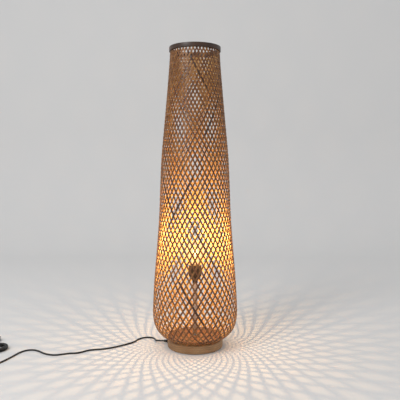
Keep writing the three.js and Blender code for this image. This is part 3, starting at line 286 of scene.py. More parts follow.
def softened(name, node, body, width):
    """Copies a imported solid, merges its loose triangles, melts flat ones together and bevels its
    outer edges, which are long and turn far enough. width is the bevel's, in millimetres."""
    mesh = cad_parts[node].data.copy()
    mesh.name = name
    mesh.materials.clear()
    work = bmesh.new()
    work.from_mesh(mesh)
    bmesh.ops.remove_doubles(work, verts=work.verts, dist=1e-6)
    bmesh.ops.dissolve_limit(work, angle_limit=math.radians(2), verts=work.verts, edges=work.edges)
    outer = []
    for edge in work.edges:
        turn, length = math.degrees(edge.calc_face_angle_signed(0)), edge.calc_length()
        upright = abs(edge.verts[0].co.z - edge.verts[1].co.z) > 0.9 * length
        if length > SHORTEST_EDGE and (turn > SQUARE_CORNER or upright and turn > UPRIGHT_CORNER):
            outer.append(edge)
    bmesh.ops.bevel(work, geom=outer, offset=width * MM, segments=3, profile=0.5,
                    affect="EDGES", clamp_overlap=True)
    work.to_mesh(mesh)
    work.free()
    piece = bpy.data.objects.new(name, mesh)
    scene.collection.objects.link(piece)
    mesh.shade_smooth()
    mesh.set_sharp_from_angle(angle=math.radians(40))
    piece.modifiers.new("flat_faces_look_flat", "WEIGHTED_NORMAL").keep_sharp = True
    return hand_over(piece, body, [node])


on_the_cord = [softened(*row) for row in (
    ("switch_lower_shell", "switch_lower_half", "stand", 1.6),
    ("switch_upper_shell", "switch_upper_half", "stand", 0.8),
    ("switch_rocker", "rocker", "rocker", 0.5),
    ("cable_tie", "coil_tie", "stand", 0.3),
    ("plug_body", "plug", "stand", 1.4))]
on_the_cord += [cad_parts[node] for node in ("switch_screw_1", "switch_screw_2", "rocker_pin")]
print("eased edges on", [piece.name for piece in on_the_cord[:5]])

# %% [markdown]
# ## Pins of the plug
# The pins are turned, with rounded tips. For two thirds of its length each is thinner and wears a
# black sleeve, flush with the tip, which keeps fingers off the metal while the plug goes in.

# %% Pins
PIN_OFFSET = 9.3 * MM
PIN = [(0, 49.3, 0), (1.7, 49.3, 0.1), (1.7, 66.8, 0), (2, 66.8, 0.1), (2, 76, 1.3), (0, 76, 0)]
PIN_SLEEVE = [(1.75, 49.5, 0.1), (2, 49.5, 0.1), (2, 66.7, 0.1), (1.75, 66.7, 0.1)]


def along_pin(side):
    """Lays points made about Z along Y, on the axis of one pin: (x, y, z) goes to (x, z, y)."""
    axis = np.array([PLUG_TIP[0] + side * PIN_OFFSET, 0, PLUG_TIP[2]])
    return lambda points: points[..., [0, 2, 1]] + axis


sides_of_plug = ((1, -1), (2, 1))
on_the_cord += [turned(f"round_pin_{number}", PIN, [f"plug_pin_{number}"], sides=32,
                       lay=along_pin(side)) for number, side in sides_of_plug]
on_the_cord += [turned(f"pin_sleeve_{number}", PIN_SLEEVE, sides=32,
                       lay=along_pin(side)) for number, side in sides_of_plug]
print("pieces on the cord", len(on_the_cord))

# %% [markdown]
# ## The wall that the weave follows
# The shade has one smooth outline: a bowl that rises steeply from the base, a widest ring and a
# long body that narrows in gentle steps to the mouth. A strip climbs it at a slant, steeper near
# the top. So the wall is worked out first, as a list of rings and of how far a strip has wound by
# each: the turn grows by tan(slant) times the climb, divided by the ring's radius.

# %% Outline of the wall
STRIP_COUNT = 46
FOOT = (89.1 * MM, 31.95 * MM)
WIDEST = (141.5 * MM, 115 * MM)
MOUTH = (80.75 * MM, 986 * MM)
FOOT_SLANT, MOUTH_SLANT = math.radians(35), math.radians(27.3)

# Share of the way up, and share of the way from the narrow end's radius to the widest one.
BOWL = [(0, 0), (0.048, 0.21), (0.12, 0.385), (0.229, 0.577), (0.386, 0.769), (0.627, 0.923)]
BODY = [(0, 1), (0.052, 0.98), (0.132, 0.912), (0.247, 0.773), (0.374, 0.634), (0.488, 0.569),
        (0.603, 0.49), (0.718, 0.338), (0.833, 0.187), (0.937, 0.058), (1, 0)]


def rings(shares, narrow, low, high):
    """Rings (radius, height) of one stretch of the wall from low to high."""
    up, out = np.array(shares).T
    radius = narrow[0] + out * (WIDEST[0] - narrow[0])
    return np.stack([radius, low[1] + up * (high[1] - low[1])], axis=1)


def smooth_through(points, samples_a_span):
    """Uniform Catmull-Rom curve: between P1 and P2 it is the cubic that leaves each with half the
    step from the point before it to the point after it."""
    padded = np.vstack([points[:1], points, points[-1:]])
    t = np.linspace(0, 1, samples_a_span, endpoint=False)[None, :, None]
    p0, p1, p2, p3 = (padded[k:len(padded) - 3 + k, None] for k in range(4))
    leave, arrive = (p2 - p0) / 2, (p3 - p1) / 2
    curve = ((2 * p1 - 2 * p2 + leave + arrive) * t ** 3
             + (3 * p2 - 3 * p1 - 2 * leave - arrive) * t ** 2 + leave * t + p1)
    return np.vstack([curve.reshape(-1, 2), points[-1:]])


outline = np.vstack([rings(BOWL, FOOT, FOOT, WIDEST), rings(BODY, MOUTH, WIDEST, MOUTH)])
wall = smooth_through(outline, 40)
climb = path_length(wall)
slant = MOUTH_SLANT + (FOOT_SLANT - MOUTH_SLANT) * (1 - climb / climb[-1]) ** 4
turn = np.concatenate([[0], np.cumsum(np.tan(slant[1:]) * np.diff(climb) / wall[1:, 0])])
slope = np.gradient(wall, climb, axis=0)
slope /= np.linalg.norm(slope, axis=1)[:, None]
crossings = turn[-1] * STRIP_COUNT / np.pi
print("a strip winds", round(math.degrees(turn[-1])), "degrees, past", round(crossings), "others")

# %% [markdown]
# ## Strips as ribbons
# Each strip is a ribbon carried along its slanted path: one closed body, capped at both ends. Its
# section is split rattan's, with a flat inner face, square edges and a slightly crowned skin.

# %% Ribbons along the wall
STRIP_WIDTH, STRIP_THICKNESS = 5.0 * MM, 1.1 * MM
SAMPLES_A_CROSSING = 4

# Corners of the section, across in widths and outward in thicknesses.
strip_section = [1, STRIP_THICKNESS] * np.array([
    (-0.5, -0.5), (0.5, -0.5), (0.5, 0.3), (0.0, 0.5), (-0.5, 0.3)])
# How much of the pale core shows on each side of it: inner face, an edge, the skin twice, an edge.
CORE_SHARE = [1.0, 0.3, 0.0, 0.0, 0.3]
strip_turn = np.linspace(0, turn[-1], int(round(crossings)) * SAMPLES_A_CROSSING + 1)


def ribbons(hand, start_angles, offset, across_shift, width):
    """Points [strips, steps, corners, 3] of ribbons. At angle a = start + hand * turn the wall's
    point is (r cos a, r sin a, z). The width runs square to the path within the wall, the thickness
    along the wall's normal (out, up), and offset lifts the ribbon off the wall."""
    radius, height, out, up, lean = [
        np.interp(strip_turn, turn, values)
        for values in (wall[:, 0], wall[:, 1], slope[:, 1], -slope[:, 0], slant)]
    angle = start_angles[:, None] + hand * strip_turn[None, :]
    outward, upward = swung(out, angle, up), swung(-up, angle, out)
    sideways = np.stack([-np.sin(angle), np.cos(angle), np.zeros_like(angle)], axis=-1)
    lean = lean[None, :, None]
    across = sideways * np.cos(lean) - hand * upward * np.sin(lean)
    middle = (swung(radius, angle, height) + outward * offset[..., None]
              + across * across_shift[..., None])
    side, lift = strip_section[:, 0], strip_section[:, 1]
    return (middle[:, :, None] + across[:, :, None] * (side * width[..., None])[..., None]
            + outward[:, :, None] * lift[None, None, :, None])


def ribbon_faces(strips, steps, corners):
    """Faces round and along every ribbon, and a cap at each end. The section runs so that a
    grid's faces look inwards, so they are turned over."""
    one = grid_faces(steps, corners, False, True)[:, ::-1]
    start = (np.arange(strips) * steps * corners)[:, None, None]
    walls = (one[None] + start).reshape(-1, 4)
    cap = np.arange(corners)
    first = (cap[None] + start[:, 0]).tolist()
    last = (cap[::-1][None] + start[:, 0] + (steps - 1) * corners).tolist()
    return walls.tolist() + first + last


print("steps along a strip", len(strip_turn))

# %% [markdown]
# ## Where strips are laid double
# Where one strip ends, the weaver lays the next half over it for a hand's breadth, a wider stretch
# that is also painted dark: painted shade where two layers hold back the bulb's light. These are
# few and follow no rule, so they are listed.

# %% Doubled stretches
# Hand, angle in degrees and height of the upper end, height of the lower end.
OVERLAPS = [(-1, -107.8, 0.972, 0.856), (1, -94.7, 0.577, 0.419), (-1, -113.5, 0.247, 0.098),
            (1, -38, 0.82, 0.70), (-1, 12, 0.66, 0.53), (1, 44, 0.36, 0.22),
            (-1, 71, 0.91, 0.79), (1, 103, 0.52, 0.38), (-1, 138, 0.31, 0.17),
            (1, 160, 0.74, 0.61), (-1, -160, 0.60, 0.46), (1, -172, 0.23, 0.10)]


def overlap_shares(hand, start_angles):
    """For each strip and step, 1 where it is laid double and 0 elsewhere. The strip is the one
    whose angle at the upper end, start + hand * turn, comes nearest to the one asked for."""
    double = np.zeros((STRIP_COUNT, len(strip_turn)))
    for which, degrees, upper, lower in OVERLAPS:
        if which == hand:
            low, high = np.interp([lower, upper], wall[:, 1], turn)
            off = start_angles + hand * high - math.radians(degrees)
            strip = np.argmin(np.abs((off + np.pi) % (2 * np.pi) - np.pi))
            double[strip, (strip_turn >= low) & (strip_turn <= high)] = 1
    return double


print("doubled stretches", len(OVERLAPS))

# %% [markdown]
# ## Weaving the strips
# All strips of one hand meet those of the other at the same turns, so one wave of the turn lifts
# each over one and under the next, and the other hand takes the opposite wave. The wave is flat at
# its tops, because a strip lies flat where it crosses another. Cut strips are never alike, so each
# has its own width, small error of place and tone.

# %% Weave
WEAVE_LIFT, PLACE_ERROR = 0.64 * MM, 0.35 * MM
WIDTH_SPREAD = 0.05
DOUBLE_SHIFT, DOUBLE_GROWTH = 0.75 * MM, 0.3
KNOTS = 9
random = np.random.default_rng(46)


def wandering(way, knots):
    """Values that run straight from one of a strip's knots to the next, for each strip."""
    return np.stack([np.interp(way, np.linspace(0, 1, KNOTS), row) for row in knots])


def give(mesh, name, domain, values):
    """Stores one number for each point or face, for the shader to read."""
    values = np.asarray(values, dtype=np.float32)
    mesh.attributes.new(name, "FLOAT", domain).data.foreach_set("value", values)


def weave(name, hand, first_over, node):
    """One hand of strips. The lift is sin(90 degrees * c), where c is the wave cos(strips * turn)
    made 1.6 times as high and cut off at 1, so a strip lies flat for over half of each crossing."""
    wave = np.clip(1.6 * np.cos(STRIP_COUNT * strip_turn), -1, 1)
    lift = first_over * WEAVE_LIFT * np.sin(np.pi / 2 * wave)
    start_angles = 2 * np.pi * np.arange(STRIP_COUNT) / STRIP_COUNT
    way = strip_turn / strip_turn[-1]
    shift = wandering(way, random.normal(0, PLACE_ERROR, (STRIP_COUNT, KNOTS)))
    widths = (random.normal(1, WIDTH_SPREAD, (STRIP_COUNT, 1))
              + random.normal(0, WIDTH_SPREAD / 2, (STRIP_COUNT, KNOTS)))
    double = overlap_shares(hand, start_angles)
    width = STRIP_WIDTH * wandering(way, widths) * (1 + DOUBLE_GROWTH * double)
    shift = shift + DOUBLE_SHIFT * double
    points = ribbons(hand, start_angles, np.broadcast_to(lift, width.shape), shift, width)
    grid, corners = points.shape[:3], len(strip_section)
    run = path_length(points[0, :, 0])[None, :, None]
    along = np.broadcast_to(run, grid) + random.uniform(0, 9, (STRIP_COUNT, 1, 1))
    across = np.broadcast_to(strip_section[:, 0] * STRIP_WIDTH, grid)
    faces = ribbon_faces(*grid)
    piece = place(name, points, faces, "shade", [node], np.stack([along, across], -1))
    # Doubled stretches get tone 0, a painted shade where two layers hold back the bulb's light.
    tone_with_painted_shade = random.uniform(0.2, 1, (STRIP_COUNT, 1)) * (1 - double)
    give(piece.data, "strip_tone_and_painted_shade", "POINT", np.repeat(tone_with_painted_shade.ravel(), corners))
    core = np.full(len(faces), CORE_SHARE[1])
    sides = len(faces) - 2 * STRIP_COUNT
    core[:sides] = np.tile(CORE_SHARE, sides // corners)
    give(piece.data, "core_side", "FACE", core)
    piece.data.set_sharp_from_angle(angle=math.radians(50))
    print(name, len(faces), "faces")


weave("woven_strips_left", 1, 1, "strips_wound_left")
weave("woven_strips_right", -1, -1, "strips_wound_right")

# %% [markdown]
# ## Turned wooden base
# The base is a disc of pale wood: a wide band with a raised step, which the shade's lowest hoop
# drops over, and a recess below for the weight plate and the wires. A turner would cut it on a
# lathe from a glued-up block, so its outline is turned here too, with edges broken by a millimetre
# as sandpaper leaves them. The cord's hole is drilled through the rim afterwards.

# %% Base
RIM, STEP, RECESS, BORE = 93.8, 84.0, 76.0, 5.3
HOLE_RADIUS, HOLE_FROM, HOLE_TO = 4.8 * MM, 70 * MM, 98 * MM
DRILL_SIDES = 48


def drilled(piece):
    """Takes the round hole along the cord's exit out of a piece."""
    angle = around(DRILL_SIDES)[:, None]
    offset = (HOLE_RADIUS * np.cos(angle) * [-math.sin(EXIT_ANGLE), math.cos(EXIT_ANGLE), 0]
              + HOLE_RADIUS * np.sin(angle) * [0, 0, 1])
    caps = [list(range(DRILL_SIDES)), list(range(2 * DRILL_SIDES - 1, DRILL_SIDES - 1, -1))]
    rims = np.vstack([np.array(exit_point(end)) + offset for end in (HOLE_FROM, HOLE_TO)])
    cutter_mesh = bpy.data.meshes.new("drill")
    cutter_mesh.from_pydata(rims, [], grid_faces(2, DRILL_SIDES, False, True).tolist() + caps)
    cutter = bpy.data.objects.new("drill", cutter_mesh)
    scene.collection.objects.link(cutter)
    joined_and_outward(cutter)
    cut = piece.modifiers.new("cut", "BOOLEAN")
    cut.operation, cut.solver, cut.object = "DIFFERENCE", "EXACT", cutter
    bored = piece.evaluated_get(bpy.context.evaluated_depsgraph_get())
    piece.data = bpy.data.meshes.new_from_object(bored)
    piece.modifiers.clear()
    bpy.data.objects.remove(cutter)


turned_base = turned("turned_base", [
    (79, 2, 0.3), (RIM, 2, 1.0), (RIM, 27, 1.2), (STEP, 27, 0), (STEP, 37, 1.5), (BORE, 37, 0.5),
    (BORE, 26, 0), (30, 26, 0), (30, 20, 0.5), (RECESS, 20, 0.8), (RECESS, 4.6, 0.2), (79, 4.6, 0)],
    ["base_disc"], sides=192)
drilled(turned_base)
print("base", len(turned_base.data.polygons), "faces")

# %% [markdown]
# ## Under the base
# A thin fibreboard disc closes the recess, and four rubber feet, pressed pads with rounded edges,
# lift the wood off the floor. That leaves the thin dark gap which the photograph shows.

# %% Cover and feet
FEET_CIRCLE = 86.4 * MM
PAD = [(0, 0, 0), (5.5, 0, 0.6), (5.5, 1.7, 0.2), (0, 1.7, 0)]

turned("base_panel", [(0, 2.3, 0), (78.7, 2.3, 0.3), (78.7, 4.3, 0.3), (0, 4.3, 0)],
       ["base_cover"], sides=128)
for index in range(4):
    middle = swung(FEET_CIRCLE, math.radians(45 + 90 * index), 0)
    turned(f"foot_pad_{index + 1}", PAD, [f"rubber_foot_{index + 1}"], sides=40,
           lay=lambda points, middle=middle: points + middle)
print("feet on a circle of", FEET_CIRCLE, "m")

# %% [markdown]
# ## Strain relief
# The sleeve that guides the cord out is moulded in soft black plastic. Rings round its taper let it
# bend in small steps. Its flange sits inside the rim and its collar outside, so a pull on the cord
# ends at the wood.

# %% Strain relief
RINGS, RING_PITCH, RING_DEPTH = 5, 2.2, 0.7
COLLAR, TAPER = 96.3, 0.125


def along_exit(points):
    """Lays points made about the upright axis along the cord's exit: height becomes the way out."""
    x, y, z = np.moveaxis(points, -1, 0)
    return np.stack([z * math.cos(EXIT_ANGLE) - y * math.sin(EXIT_ANGLE),
                     z * math.sin(EXIT_ANGLE) + y * math.cos(EXIT_ANGLE), EXIT_HEIGHT - x], axis=-1)


relief = [(3.0, 72.6, 0.2), (5.8, 72.6, 0.3), (5.8, 75.0, 0.3), (4.5, 75.0, 0), (4.5, 94.1, 0),
          (6.6, 94.1, 0.5), (6.6, COLLAR, 0.6)]
for step in range(RINGS):
    start = 96.5 + RING_PITCH * step
    radius = 5.2 - TAPER * (start - COLLAR)
    relief += [(radius - RING_DEPTH, start, 0.2), (radius - RING_DEPTH, start + 0.8, 0.2),
               (radius, start + 0.8, 0.3), (radius - 0.15, start + RING_PITCH, 0.3)]
relief += [(3.7, 108.3, 0.5), (3.0, 108.3, 0.2)]
turned("cord_relief", relief, ["strain_relief"], sides=48, lay=along_exit)
print("relief outline", len(relief), "corners")

# %% [markdown]
# ## Stem and lampholder
# A plain zinc-plated tube hides the threaded pipe and carries a moulded holder: a bell-shaped cap,
# and a skirt screwed into it with a milled band for the fingers. The band's ribs are a wave round
# the skirt, deep enough to catch light.

# %% Sleeve, cap and skirt
RIBS, RIB_DEPTH = 40, 0.35 * MM
SKIRT, BAND_LOW, BAND_HIGH = 20.5 * MM, 247 * MM, 268 * MM


def polar(points):
    """Radius, angle and height of points."""
    x, y, z = np.moveaxis(points, -1, 0)
    return np.hypot(x, y), np.arctan2(y, x), z


def widened(points, factor):
    """Points moved out from the upright axis, or in, each by its own factor."""
    return points * np.stack([factor, factor, np.ones_like(factor)], axis=-1)


def milled(points):
    """Draws the skirt's outside in by RIB_DEPTH (1 - |cos 20a|) over its band, so 40 ribs stand."""
    radius, angle, height = polar(points)
    band = (radius > SKIRT) & (height > BAND_LOW) & (height < BAND_HIGH)
    sink = np.where(band, RIB_DEPTH * (1 - np.abs(np.cos(RIBS / 2 * angle))), 0)
    return widened(points, 1 - sink / np.maximum(radius, MM))


turned("plain_sleeve", [(5.6, 43.4, 0.3), (8, 43.4, 0.5), (8, 215.4, 0.5), (5.6, 215.4, 0.3)],
       ["stem_sleeve"], sides=64)
turned("top_washer", [(BORE, 37.3, 0.1), (11, 37.3, 0.25), (11, 38.8, 0.25), (BORE, 38.8, 0.1)],
       ["upper_washer"], sides=64)
turned("holder_bell", [
    (BORE, 215.7, 0.3), (9, 215.7, 0.8), (9, 223.7, 4), (19.5, 235.7, 5), (19.5, 243.7, 0.4),
    (17.9, 243.7, 0.4), (17.9, 235.7, 4), (7.4, 225.3, 0.5), (BORE, 225.3, 0.2)],
    ["holder_cap"])
holder_ring = turned("holder_ring", [
    (19.8, 239.7, 0.2), (21.4, 239.7, 0.5), (21.4, 246.5, 0.1), (21.4, 247.5, 0.1),
    (21.4, 267.5, 0.1), (21.4, 268.5, 0.1), (21.4, 276.7, 1.2), (15.3, 276.7, 0.5),
    (15.3, 275.2, 0.2), (19.8, 275.2, 0.3)],
    ["holder_skirt"], sides=8 * RIBS, lay=milled)
print("skirt", len(holder_ring.data.polygons), "faces")

# %% [markdown]
# ## Bulb
# The bulb is a clear ball on a short neck. Its glass is blown in one piece, so one outline serves
# for the outside and, set in by the wall, for the inside. The screw cap is pressed brass with a
# true helical thread: its radius is a wave of the height less the turn's share of the pitch.

# %% Glass and its stem
BALL, BALL_HEIGHT, NECK, WALL = 30, 326.6, 11, 0.8


def glass_side(inset):
    """Neck, bend and ball of the glass, set in by inset: (radius, height, ease) in millimetres."""
    ball, neck, meet = BALL - inset, NECK - inset, math.radians(-40)
    joint = np.array([ball * math.cos(meet), BALL_HEIGHT + ball * math.sin(meet)])
    corner = np.array([neck, joint[1] - (joint[0] - neck) / math.tan(-meet)])
    curve = bend(np.array([neck, 282.4]), corner, joint, np.linspace(0, 1, 13)[:, None])
    angle = np.linspace(meet, math.pi / 2, 40)[1:]
    arc = np.stack([ball * np.cos(angle), BALL_HEIGHT + ball * np.sin(angle)], axis=1)
    side = np.vstack([[(neck, 263.7)], curve, arc])
    side[-1, 0] = 0
    return np.column_stack([side, np.zeros(len(side))])


clear_ball = turned("clear_ball", np.vstack([glass_side(0), glass_side(WALL)[::-1]]),
                    ["bulb_glass"], "bulb")
turned("glass_stem", [(0, 264, 0), (9.9, 264, 0.4), (3.2, 275.3, 4), (3.2, 298, 1.2), (0, 298, 0)],
       ["bulb_stem"], "bulb", sides=40)
print("glass", len(clear_ball.data.polygons), "faces")

# %% Screw cap with its thread
CAP_RADIUS, CAP_FOOT, CAP_TOP = 12.3, 257.0, 278.4
THREAD_DEPTH, THREAD_FOOT, PITCH, THREAD_TURNS = 0.7, 258.2, 3.629, 4.5


def screw_cap(sides=96, rows=72):
    """A cap whose radius grows by THREAD_DEPTH (1 - cos 2 pi w) / 2, where w is the height above
    the thread's foot less the turn's share, in pitches. The thread fades out at both ends, and the
    inside is plain."""
    height = np.linspace(CAP_FOOT, CAP_TOP, rows)[:, None]
    angle = around(sides)[None, :]
    pitches = (height - THREAD_FOOT) / PITCH
    wave = 0.5 - 0.5 * np.cos(2 * np.pi * (pitches - angle / (2 * np.pi)))
    fade = np.clip(2 * pitches, 0, 1) * np.clip(2 * (THREAD_TURNS - pitches), 0, 1)
    outside = CAP_RADIUS + THREAD_DEPTH * wave * fade
    radius = np.vstack([np.full((1, sides), 4.8), np.full((1, sides), 11.8), outside,
                        np.full((2, sides), 11.4), np.full((1, sides), 4.8)])
    levels = np.concatenate([[256.4, 256.4], height[:, 0], [CAP_TOP, 256.9, 256.9]])[:, None]
    points = MM * swung(radius, angle, levels)
    faces = grid_faces(*points.shape[:2], True, True)
    return place("threaded_cap", points, faces, "bulb", ["bulb_screw_cap"])


threaded_cap = joined_and_outward(screw_cap())
print("cap", len(threaded_cap.data.polygons), "faces")

# %% [markdown]
# ## Hoops
# The mouth is held between two hoops of split bamboo, one outside the weave and one inside, and the
# foot by one that drops over the base's step, with a thin ring below the weave. A split is bent
# round until its ends overlap in a long scarf, so each hoop bulges a little along one sixteenth of
# its round, and its radius wavers by a few tenths of a millimetre.

# %% Hoops
SCARF_ANGLE = math.pi / 8


def hoop(name, slot, node, section, scarf_at, bulge=0.5 * MM):
    """A hoop of section (inside, outside, low, high, ease) in millimetres. Its outer face swells by
    bulge sin^2 over the scarf, and all of it wavers as 0.2 sin 3a + 0.1 sin 7a mm."""
    inside, outside, low, high, ease = section

    def laid(points):
        """Lets the radius swell and waver."""
        radius, angle, height = polar(points)
        outer = radius > radius.mean()
        from_scarf = (angle - scarf_at + np.pi) % (2 * np.pi) - np.pi
        way = np.clip(from_scarf / SCARF_ANGLE + 0.5, 0, 1)
        swell = bulge * np.sin(np.pi * way) ** 2 * outer
        waver = 0.2 * MM * np.sin(3 * angle + scarf_at) + 0.1 * MM * np.sin(7 * angle)
        return widened(points, (radius + swell + waver) / radius)

    rows = [(inside, low, ease), (outside, low, ease), (outside, high, ease), (inside, high, ease)]
    return turned(name, rows, [node], "shade", 256, laid)


hoops = [hoop(*row) for row in (
    ("mouth_hoop_outside", "dark_bamboo", "top_outer_hoop", (82.8, 85.0, 986, 1000, 0.9), 2.2),
    ("mouth_hoop_inside", "dark_bamboo", "top_inner_hoop", (76.9, 79.1, 986, 1000, 0.9), -0.6),
    ("foot_hoop_inside", "dark_bamboo", "bottom_inner_hoop", (84.7, 86.7, 27.3, 37, 0.6), 1.1, 0),
    ("foot_ring", "rattan", "bottom_ring", (87.2, 93.6, 27.4, 30.3, 1.2), 3.9, 0.2 * MM))]
print("hoops", [len(piece.data.polygons) for piece in hoops])

# %% [markdown]
# ## How the finishes are built
# Colours are chosen as the eye sees them on a screen, so one function turns a hex value into the
# linear numbers that a shader mixes. Another adds a node with its settings and its links, and each
# material is a short list of such calls. A pattern reads Object coordinates, in metres, or the map
# that a piece carries, in metres along and across its surface, so its scale comes from a real size.

# %% Colour and nodes
def linear(hex_value):
    """sRGB to linear: c / 12.92 up to 0.04045 and ((c + 0.055) / 1.055) ** 2.4 above, and alpha."""
    channels = np.array([int(hex_value[k:k + 2], 16) for k in (1, 3, 5)]) / 255
    straight = np.where(channels <= 0.04045, channels / 12.92, ((channels + 0.055) / 1.055) ** 2.4)
    return (*straight.tolist(), 1.0)


def add(tree, kind, sockets=None, stops=(), **settings):
    """Adds a node. A socket takes a value, another node's first output, or an output. Stops are the
    places and colours of a ramp."""
    node = tree.nodes.new("ShaderNode" + kind)
    for setting, value in settings.items():
        setattr(node, setting, value)
    for socket, value in (sockets or {}).items():
        value = value.outputs[0] if isinstance(value, bpy.types.Node) else value
        if isinstance(value, bpy.types.NodeSocket):
            tree.links.new(value, node.inputs[socket])
        else:
            node.inputs[socket].default_value = value
    while len(stops) > 2 and len(node.color_ramp.elements) < len(stops):
        node.color_ramp.elements.new(0.5)
    for index, (where, hex_value) in enumerate(stops):
        node.color_ramp.elements[index].position = where
        node.color_ramp.elements[index].color = linear(hex_value)
    return node


def blank(name, mapped=False):
    """A new material, its node tree and the place that its patterns read: the piece's own map, or
    else its Object coordinates."""
    material = bpy.data.materials.new(name)
    material.use_nodes = True
    tree = material.node_tree
    tree.nodes.clear()
    if mapped:
        return material, tree, add(tree, "UVMap", uv_map="along_across")
    return material, tree, add(tree, "TexCoord").outputs["Object"]


MULTIPLY = {"data_type": "RGBA", "blend_type": "MULTIPLY"}


def per_length(millimetres):
    """Scale of a pattern that repeats once in that many millimetres."""
    return 1000.0 / millimetres


print("#A8743F is", [round(channel, 3) for channel in linear("#A8743F")], "linear")

# %% [markdown]
# ## Split rattan
# The strips are split from rattan's skin, stained and left with a thin satin coat. Fine fibres run
# along a strip, its tone wanders slowly, dark lines cross it where a leaf once grew, and no two
# strips have quite the same colour. The inner side took less stain, so the shade is brighter inside
# than out. Real fibres are about 0.15 mm apart; here they are 0.5 mm apart and stretched along the
# strip, so that they show. Each strip's tone and each face's side come from attributes, and where a
# strip is laid double its tone is painted darkest, as painted shade for the light two layers block.

# %% Rattan
rattan, tree, uv = blank("split_rattan_satin", mapped=True)
apart, core_side = [add(tree, "Attribute", attribute_name=name, attribute_type="GEOMETRY")
                    .outputs["Fac"] for name in ("strip_tone_and_painted_shade", "core_side")]
shift = add(tree, "CombineXYZ", {"Z": add(tree, "Math", {0: apart, 1: 7.0}, operation="MULTIPLY")})
placed = add(tree, "VectorMath", {0: uv, 1: shift}, operation="ADD")
fibres, drift, leaf_lines = [
    add(tree, "TexNoise", {"Vector": add(tree, "Mapping", {"Vector": placed, "Scale": stretch}),
                           "Scale": per_length(spacing), "Detail": detail, "Roughness": rough})
    for stretch, spacing, detail, rough in (
        ((1 / 30, 1, 1), 0.5, 3.0, 0.6), ((1, 0.2, 1), 45, 2.0, 0.5), ((1, 0.02, 1), 11, 1.0, 0.5))]
color = add(tree, "ValToRGB", {"Fac": fibres},
            [(0.3, "#6F4621"), (0.52, "#9C6B38"), (0.75, "#BC8B52")])
wander = add(tree, "ValToRGB", {"Fac": drift}, [(0.3, "#C9B8A6"), (0.7, "#FFFFFF")])
# A tone of 0 is only ever a doubled stretch, so the darkest stop is painted shade there.
own = add(tree, "ValToRGB", {"Fac": apart},
          [(0.0, "#7A6858"), (0.2, "#B39C88"), (0.6, "#E6DACB"), (1.0, "#FFFFFF")])
leaf = add(tree, "ValToRGB", {"Fac": leaf_lines}, [(0.66, "#FFFFFF"), (0.72, "#7D6A5C")])
for layer in (wander, own, leaf):
    color = add(tree, "Mix", {0: 1.0, 6: color, 7: layer}, **MULTIPLY).outputs[2]
core = add(tree, "ValToRGB", {"Fac": fibres},
           [(0.3, "#AA8046"), (0.55, "#CCA466"), (0.8, "#E3C58B")])
color = add(tree, "Mix", {0: core_side, 6: color, 7: core}, data_type="RGBA").outputs[2]
bump = add(tree, "Bump", {"Height": fibres, "Strength": 0.35, "Distance": 0.15 * MM})
rough = add(tree, "MapRange", {"Value": fibres, "To Min": 0.58, "To Max": 0.42})
add(tree, "OutputMaterial", {"Surface": add(tree, "BsdfPrincipled", {
    "Base Color": color, "Roughness": rough, "Normal": bump, "Coat Weight": 0.12,
    "Coat Roughness": 0.3})})
print("rattan", len(tree.nodes), "nodes, fibres", per_length(0.5), "a metre")

# %% [markdown]
# ## Fibreboard and painted iron
# The cover under the base is hard fibreboard: pressed wood felt, brown and without a direction. The
# weight is cast iron under black paint, pitted by the sand of its mould, and paint is a skin over
# the metal, so its shader isn't metallic. One fine noise gives each both its mottle and its faint
# relief; a grain like the base's would be wrong. Most other finishes are one or two noises as well,
# which a ramp turns into tones, a bump node into relief and a range into roughness. So one function
# builds such a material, and each of these finishes is a recipe for it.

# %% Finishes made of noises
def finish(name, noises, tints, relief=None, rough=None, surface=None, mapped=False):
    """A material of noises {name: (mm apart, settings, stretch)}, where a stretch may be left out.
    Tints are (noise, ramp) and multiply each other. Relief is (noise, strength, height in mm) and
    rough is (noise, roughness where it is 0, where it is 1). Surface holds other values."""
    material, tree, where = blank(name, mapped)
    made = {}
    for noise, (apart, settings, *stretch) in noises.items():
        vector = add(tree, "Mapping", {"Vector": where, "Scale": stretch[0]}) if stretch else where
        made[noise] = add(tree, "TexNoise", {"Vector": vector, "Scale": per_length(apart),
                                             **settings})
    color, *layers = [add(tree, "ValToRGB", {"Fac": made[noise]}, ramp) for noise, ramp in tints]
    for layer in layers:
        color = add(tree, "Mix", {0: 1.0, 6: color, 7: layer}, **MULTIPLY).outputs[2]
    sockets = {"Base Color": color, **(surface or {})}
    if relief:
        sockets["Normal"] = add(tree, "Bump", {
            "Height": made[relief[0]], "Strength": relief[1], "Distance": relief[2] * MM})
    if rough:
        sockets["Roughness"] = add(tree, "MapRange", {
            "Value": made[rough[0]], "To Min": rough[1], "To Max": rough[2]})
    add(tree, "OutputMaterial", {"Surface": add(tree, "BsdfPrincipled", sockets)})
    print(name, len(tree.nodes), "nodes")
    return material


fibreboard = finish(
    "hard_fibreboard", {"felt": (1.6, {"Detail": 4.0, "Roughness": 0.7})},
    [("felt", [(0.3, "#5E4530"), (0.6, "#7A5C42"), (0.75, "#8F7052")])],
    relief=("felt", 0.3, 0.2), surface={"Roughness": 0.8})
cast_iron = finish(
    "painted_cast_iron", {"pits": (2.0, {})},
    [("pits", [(0.35, "#1A1A1B"), (0.75, "#2B2B2C")])],
    relief=("pits", 0.35, 0.35), surface={"Roughness": 0.62})

# %% [markdown]
# ## Dark bamboo
# The hoops are split bamboo stained nearly black-brown. Its fibres are straight, coarser than
# rattan's and run round the hoop, so the pattern follows the turned piece's map. They are 0.9 mm
# apart, about twice the real distance, so that they show. The ring under the foot is unstained
# rattan core, with the same straight fibres in a pale brown.

